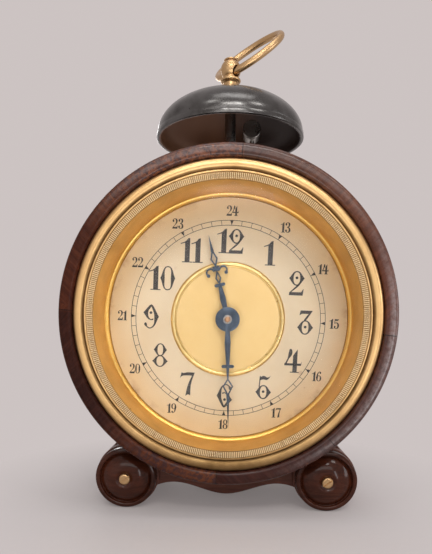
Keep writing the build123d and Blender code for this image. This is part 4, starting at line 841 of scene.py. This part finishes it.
hour_parts = []
day_parts = []
for hour in range(1, 13):
    hour_parts.append(figure_shape(str(hour), hour_figure_height, figures, 1.0, 0.02))
    on_dial(hour_parts[-1], hour_figure_ring, hour)
    day_parts.append(figure_shape(str(hour + 12), day_figure_height, {**figures, **day_figures}, 0.9, 0.04))
    on_dial(day_parts[-1], day_figure_ring, hour)
finish_piece(join_pieces(hour_parts), "hour_figures", "case", ink)
finish_piece(join_pieces(day_parts), "day_figures", "case", ink)

# Minute track: two fine circles, sixty strokes and twelve pointers
ink_front = -(ink_lift + ink_height) / mm
track_parts = []
for ring in (track_outer, track_inner):
    section = [
        (ring - track_line / 2, -0.01),
        (ring + track_line / 2, -0.01),
        (ring + track_line / 2, ink_front),
        (ring - track_line / 2, ink_front),
    ]
    track_parts.append(turned(section, dial_centre, dial_axis, across, 240, 40))


def copies_round(piece, count, turn=0.0):
    """Copies what is in a piece round the arbor, each copy a part of the same mesh."""
    only_selected(piece)
    piece.data.transform(
        Matrix.Translation(dial_centre) @ Matrix.Rotation(turn, 4, "Y") @ Matrix.Translation(-dial_centre)
    )
    bpy.ops.object.mode_set(mode="EDIT")
    bpy.ops.mesh.select_all(action="SELECT")
    bpy.ops.mesh.spin(
        steps=count - 1, angle=2 * math.pi * (count - 1) / count, dupli=True, center=dial_centre, axis=dial_axis
    )
    bpy.ops.mesh.select_all(action="SELECT")
    bpy.ops.mesh.normals_make_consistent(inside=False)
    bpy.ops.object.mode_set(mode="OBJECT")
    return piece


def small_block(corner_low, corner_high):
    """A block between two corners given as (x, station, z)."""
    nothing_selected()
    bpy.ops.mesh.primitive_cube_add(size=1)
    piece = bpy.context.view_layer.objects.active
    low, high = place(*corner_low), place(*corner_high)
    middle, size = (low + high) / 2, high - low
    for vertex in piece.data.vertices:
        vertex.co = middle + Vector((vertex.co.x * size.x, vertex.co.y * size.y, vertex.co.z * size.z))
    return piece


stroke = small_block((-0.1, ink_front, track_inner), (0.1, -0.01, track_outer))
track_parts.append(copies_round(stroke, 60, -print_turn))
pointer = small_block((-0.75, ink_front, track_inner + 0.2), (0.75, -0.01, track_outer))
for vertex in pointer.data.vertices:
    if vertex.co.z < dial_height + (track_inner + 1.0) * mm:
        vertex.co.x *= 0.08
track_parts.append(copies_round(pointer, 12, -print_turn))
finish_piece(join_pieces(track_parts), "minute_track", "case", ink)

# Milled band inside the bezel: fine ridges on the slope under the bead
slope = math.atan2(mill_inner_station - mill_outer_station, mill_outer - mill_inner)
nothing_selected()
bpy.ops.mesh.primitive_cube_add(size=1)
ridge = bpy.context.view_layer.objects.active
for vertex in ridge.data.vertices:
    narrow = mill_top if vertex.co.y < 0 else 1.0
    radius = (mill_outer + mill_inner) / 2 + vertex.co.z * (mill_outer - mill_inner)
    station = (mill_outer_station + mill_inner_station) / 2
    station -= vertex.co.z * (mill_inner_station - mill_outer_station)
    lift = mill_height if vertex.co.y < 0 else -mill_height / 2
    radius -= lift * math.sin(slope)
    station -= lift * math.cos(slope)
    vertex.co = place(vertex.co.x * mill_width * narrow, station, radius)
finish_piece(copies_round(ridge, mill_count), "milled_band", "case", ridge_brass)

# Front ring: a softly rounded crown and a flat outer side
ring_profile = [(61.4, -24.6), (56.6, -24.6), (56.6, -12.0), (58.95, -12.0), (58.95, -17.0), (65.675, -17.0)]
ring_profile += arc((65.675, -18.425), 1.425, 90, 0, 6)
ring_crown, ring_crown_station, ring_crown_half, ring_crown_bend = 64.25, -25.5, 2.85, 0.66
for x, y in arc((0, 0), 1.0, 0, -180, 44):
    aside = ring_crown_half * math.copysign(abs(x) ** ring_crown_bend, x)
    proud = ring_crown_half * abs(y) ** ring_crown_bend
    ring_profile.append((ring_crown + aside, ring_crown_station - proud))
turned_piece(ring_profile, 240, 40, "front_ring_turned", ring_wood, "front_ring")

# Bezel: convex flange, dark valley, bright bead and the sloping band under the ridges
bezel_profile = [(56.5, -17.05), (56.5, -24.6), (61.3, -24.6)]
bezel_profile += arc_through((61.3, -26.4), (58.975, -28.6), (56.65, -27.2), 22)
bezel_profile += arc((56.2, -27.85), 0.45, 0, -180, 12)
bezel_profile += [(55.75, -27.4), (53.6, -26.94)] + arc((53.6, -26.74), 0.2, -90, -180, 3)
bezel_profile += [(53.4, -26.0), (55.9, -26.0), (55.9, -17.05)]
turned_piece(bezel_profile, 240, 30, "bezel_turned", bezel_brass, "bezel")

# Glass: a shallow dome with a flat rim under the lip
glass_profile = arc_through((0, -32.0), (26.675, -30.524), (53.35, -26.0), 24)
glass_profile += [(55.85, -26.0), (55.85, -24.2)]
glass_profile += arc_through((53.35, -24.2), (26.675, -28.724), (0, -30.2), 24)
turned_piece(glass_profile, 160, 30, "glass_dome", clear_glass, "glass")

# Sight ring: a cone from the glass to a bead on the dial, with a fine step between them
sight_profile = [(52.7, 0.0), (54.8, 0.0), (54.8, -1.4), (55.85, -22.8), (55.85, -24.2), (55.15, -24.2)]
sight_profile += [(54.3, -3.1), (54.12, -2.9), (54.12, -2.3)]
sight_profile += arc_through((54.0, -2.2), (53.35, -1.8), (52.75, -0.75), 12)
turned_piece(sight_profile, 200, 30, "sight_ring_turned", gilt, "sight_ring")

# Bead round the gilt centre: a broad half-round with a fine line inside it
bead_profile = [(22.85, 0.0), (25.35, 0.0)] + arc((24.25, 0.0), 1.1, 0, -150, 12)[1:]
bead_profile += arc((23.1, -0.55), 0.25, 0, -180, 6)
turned_piece(bead_profile, 160, 40, "dial_bead_turned", bead_gilt, "dial_bead")

# Rosettes on the rollers: rounded rim, groove and a dome that rises to the screw
rosette_front = -16.5
rosette_profile = [(1.52, rosette_front + 0.7), (1.52, -9.0), (12.7, -9.0), (13.1, -9.4)]
rosette_profile += arc((12.3, rosette_front + 3.0), 0.8, 0, -70, 6)
rosette_profile += arc((11.75, rosette_front + 2.75), 0.75, -50, -180, 8)
rosette_profile += [(10.9, rosette_front + 3.15), (10.7, rosette_front + 3.3), (10.45, rosette_front + 3.2)]
rosette_profile += arc_through(
    (10.3, rosette_front + 3.0), (7.0, rosette_front + 0.85), (4.0, rosette_front + 0.05), 16
)
rosette_profile += [(3.7, rosette_front + 0.1), (3.3, rosette_front + 0.45), (2.6, rosette_front + 0.7)]
for side, name in ((-1, "left"), (1, "right")):
    turned_piece(
        rosette_profile,
        120,
        35,
        "rosette_" + name,
        rosette_wood,
        "foot_rosette_" + name,
        place(side * foot_spread, 0, -foot_drop),
    )

# Bell: a flattened dome of one wall, with a scored line above the rim
bell_axis = Vector((0, 0, 1))
bell_foot = place(0, 12, 0)


def dome(radius, height, count):
    """Points of a quarter of a dome from its rim to the flat of its crown."""
    last = math.acos(crown_radius / radius)
    turns = [last * step / count for step in range(count + 1)]
    return [(radius * math.cos(turn), bell_base + height * math.sin(turn)) for turn in turns]


outer_dome = dome(bell_radius, bell_height, 30)
inner_dome = dome(bell_radius - bell_wall, bell_height - bell_wall, 30)
bell_profile = inner_dome[::-1] + [(31.2, bell_rim + 0.3)] + arc((31.5, bell_rim + 0.3), 0.3, 180, 270, 4)
bell_profile += arc((32.5, bell_rim + 0.4), 0.4, -90, 0, 5) + [(32.82, 82.1), (32.72, 82.3), (32.5, 82.36)]
bell_profile += [(32.53, 82.6)] + outer_dome[2:]
bell_profile += [(1.62, outer_dome[-1][1]), (1.62, inner_dome[-1][1])]
turned_piece(bell_profile, 200, 30, "bell_dome", bell_steel, "bell", bell_foot, bell_axis)

# Finial: foot, grooved neck, collar, bulb pierced for the ring, and an overhanging cap
crown_top = outer_dome[-1][1]
hole_radius, hole_length, hole_drop = 2.2, 14, 1.4
bulb_radius, cap_rise = 4.5, 14.973
bulb_middle = hinge_height + hole_drop
finial_profile = [(0, crown_top), (4.0, crown_top)] + arc((3.6, crown_top + 0.7), 0.6, -60, 90, 6)
finial_profile += [(3.1, crown_top + 1.5), (3.1, crown_top + 2.6)]
finial_profile += [(3.45, crown_top + 2.9), (3.45, crown_top + 3.6)]
finial_profile += [(3.1, crown_top + 3.9), (3.1, crown_top + 5.5), (3.5, crown_top + 5.9)]
finial_profile += arc((3.75, crown_top + 6.65), 0.75, -70, 70, 8) + [(3.2, crown_top + 7.7)]
finial_profile += arc((0, bulb_middle), bulb_radius, -44, 54, 30)
cap_foot = crown_top + cap_rise
finial_profile += [(2.9, cap_foot + 0.05)] + arc((2.75, cap_foot + 0.35), 0.35, -60, 80, 6)
finial_profile += [(1.6, cap_foot + 1.1), (0, cap_foot + 1.25)]
finial_piece = turned(finial_profile, bell_foot, bell_axis, across, 160, 35)
hinge = place(0, 12, hinge_height)
ring_along = Vector((math.sin(ring_direction), -math.cos(ring_direction), 0))
nothing_selected()
bpy.ops.mesh.primitive_cylinder_add(vertices=48, radius=hole_radius * mm, depth=hole_length * mm, location=hinge)
hole = bpy.context.view_layer.objects.active
hole.rotation_euler = ring_along.to_track_quat("Z", "Y").to_euler()
cut = finial_piece.modifiers.new("hole", "BOOLEAN")
cut.object = hole
cut.operation = "DIFFERENCE"
cut.solver = "EXACT"
only_selected(finial_piece)
bpy.ops.object.modifier_apply(modifier="hole")
bpy.data.objects.remove(hole)
bpy.ops.object.shade_smooth_by_angle(angle=math.radians(35))
finish_piece(finial_piece, "finial_turned", "case", old_brass, ["finial"])

# Ring handle: round wire bent to a circle
ring_up = Vector(
    (
        math.sin(ring_lean) * math.cos(ring_direction),
        math.sin(ring_lean) * math.sin(ring_direction),
        math.cos(ring_lean),
    )
)
ring_middle = hinge + ring_up * (ring_radius - ring_slack) * mm
wire = arc((ring_radius, 0.0), ring_wire, 0, 352.5, 47)
finish_piece(
    turned(wire, ring_middle, ring_along.cross(ring_up), ring_up, 288, 60),
    "ring_wire",
    "ring",
    old_brass,
    ["ring_handle"],
)


# Copies of flat and sawn pieces with their edges taken off
def softened(node_name, body, material, width, segments=2, angle=35, needle=None):
    """A copy with bevelled edges; a needle is (turn of the hand, where it starts, how much broader)."""
    source = nodes[node_name]
    piece = bpy.data.objects.new(node_name + "_softened", source.data.copy())
    bpy.context.scene.collection.objects.link(piece)
    only_selected(piece)
    bpy.ops.object.mode_set(mode="EDIT")
    bpy.ops.mesh.select_all(action="SELECT")
    bpy.ops.mesh.remove_doubles(threshold=0.004 * mm)
    bpy.ops.mesh.dissolve_limited(angle_limit=math.radians(1.0))
    bpy.ops.object.mode_set(mode="OBJECT")
    bpy.ops.mesh.customdata_custom_splitnormals_clear()
    if needle:
        turn, start, broader = needle
        along = Vector((-math.sin(math.radians(turn)), 0, math.cos(math.radians(turn))))
        beside = Vector((along.z, 0, -along.x))
        for vertex in piece.data.vertices:
            offset = vertex.co - dial_centre
            if offset.dot(along) > start * mm:
                vertex.co += beside * offset.dot(beside) * (broader - 1)
    edges = piece.modifiers.new("edges", "BEVEL")
    edges.width = width * mm
    edges.segments = segments
    edges.limit_method = "ANGLE"
    edges.angle_limit = math.radians(angle)
    bpy.ops.object.modifier_apply(modifier="edges")
    bpy.ops.object.shade_smooth_by_angle(angle=math.radians(30))
    return finish_piece(piece, node_name + "_softened", body, material, [node_name])


softened("hour_hand", "hours", blued, 0.14, needle=(13.4, 31.0, 1.8))
softened("minute_hand", "hands", blued, 0.14, needle=(180.9, 33.5, 1.8))
softened("base_cradle", "case", apron_wood, 0.6, 3)
softened("case_drum", "case", case_wood, 0.4)

# Floor, light and camera
floor_size, floor_front = 6.0, 0.14
shadow_near, shadow_far = 0.06, 0.14
backdrop_colour = (0.605, 0.548, 0.54)


def background_rays(tree):
    """1 for the rays that show the background: seen, mirrored or through the glass."""
    rays = tree.nodes.new("ShaderNodeLightPath")
    seen = larger(tree, rays.outputs["Is Camera Ray"], rays.outputs["Is Glossy Ray"])
    return larger(tree, seen, rays.outputs["Is Transmission Ray"])


nothing_selected()
bpy.ops.mesh.primitive_plane_add(size=floor_size, location=(0, floor_size / 2 - floor_front, 0))
floor = bpy.context.view_layer.objects.active
floor.name = "floor"
floor_paint, tree, shader, spot = new_material("pale floor")
grain = noise(tree, spot, 400.0, 3, 0.6)
floor_tone = blend_colour(tree, grain, (0.57, 0.515, 0.505, 1), (0.61, 0.55, 0.54, 1))
tree.links.new(floor_tone, shader.inputs["Base Color"])
shader.inputs["Roughness"].default_value = 0.9
floor_place = put(tree, "ShaderNodeNewGeometry").outputs["Position"]
far = put(tree, "ShaderNodeVectorMath", {"operation": "LENGTH"}, {0: floor_place}).outputs["Value"]
hazy = times(tree, remap(tree, far, shadow_near, shadow_far, 0.25, 1.0), background_rays(tree))
haze = put(tree, "ShaderNodeEmission", None, {"Color": (*backdrop_colour, 1), "Strength": 1.0})
mix_shaders(tree, hazy, shader.outputs["BSDF"], haze.outputs["Emission"], "Material Output")
floor.data.materials.append(floor_paint)

world = bpy.data.worlds.new("studio")
bpy.context.scene.world = world
world.use_nodes = True
tree = world.node_tree
sky = tree.nodes["Background"]
sky.inputs["Color"].default_value = (0.95, 0.97, 1.0, 1)
heaven = put(tree, "ShaderNodeTexCoord").outputs["Generated"]
brighter_side = put(
    tree, "ShaderNodeVectorMath", {"operation": "DOT_PRODUCT"}, {0: heaven, 1: (0.45, 0.0, 0.9)}
).outputs["Value"]
tree.links.new(remap(tree, brighter_side, 0.0, 1.0, 0.1, 0.6), sky.inputs["Strength"])
backdrop = put(tree, "ShaderNodeBackground", None, {"Color": (*backdrop_colour, 1), "Strength": 1.0})
mix_shaders(
    tree, background_rays(tree), sky.outputs["Background"], backdrop.outputs["Background"], "World Output"
)


def softbox(name, toward, distance, width, height, power, colour):
    """An area lamp in a direction from the dial, facing it, its width level."""
    lamp = bpy.data.lights.new(name, "AREA")
    lamp.shape = "RECTANGLE"
    lamp.size = width
    lamp.size_y = height
    lamp.energy = power
    lamp.color = colour
    holder = bpy.data.objects.new(name, lamp)
    bpy.context.scene.collection.objects.link(holder)
    direction = Vector(toward).normalized()
    level = (across - direction * across.dot(direction)).normalized()
    turned_to = Matrix((level, direction.cross(level), direction)).transposed().to_4x4()
    holder.matrix_world = Matrix.Translation(dial_centre + direction * distance) @ turned_to


warm, daylight, cool, white = (1.0, 0.985, 0.96), (1.0, 0.99, 0.97), (0.94, 0.96, 1.0), (1.0, 1.0, 1.0)
softbox("front", (0.0, -0.93, 0.37), 1.1, 1.0, 0.25, 1.7, warm)
softbox("left", (-0.55, -0.82, 0.05), 1.2, 0.8, 0.9, 0.6, warm)
softbox("right", (0.5, -0.86, -0.1), 1.1, 0.1, 0.55, 1.1, cool)
softbox("above", (0.06, -0.765, 0.64), 1.0, 0.42, 0.14, 2.2, daylight)
softbox("overhead", (0.06, -0.2, 0.98), 1.2, 0.7, 0.4, 2.6, white)
softbox("side", (0.95, -0.25, 0.12), 1.2, 0.3, 0.6, 2.4, (0.95, 0.97, 1.0))
softbox("below", (0.05, -0.88, -0.45), 1.0, 0.9, 0.4, 3.5, warm)
softbox("window", (0.5, -0.5, 0.7), 1.2, 0.25, 0.15, 1.2, daylight)
softbox("skylight", (-0.31, -0.51, 0.78), 1.2, 0.28, 0.15, 0.7, daylight)
softbox("back", (-0.2, 0.95, 0.25), 1.2, 0.5, 0.5, 3.0, white)

lens = bpy.data.cameras.new("camera")
lens.sensor_width = 36.0
lens.lens = 34.019
lens.shift_y = 0.1805
lens.clip_start = 0.01
camera = bpy.data.objects.new("camera", lens)
bpy.context.scene.collection.objects.link(camera)
camera.location = (2.326 * mm, -246.15 * mm, 78.80 * mm)
camera.rotation_euler = [math.radians(turn) for turn in (84.511, -0.546, 1.833)]
bpy.context.scene.camera = camera
bpy.context.scene.view_settings.view_transform = "Standard"
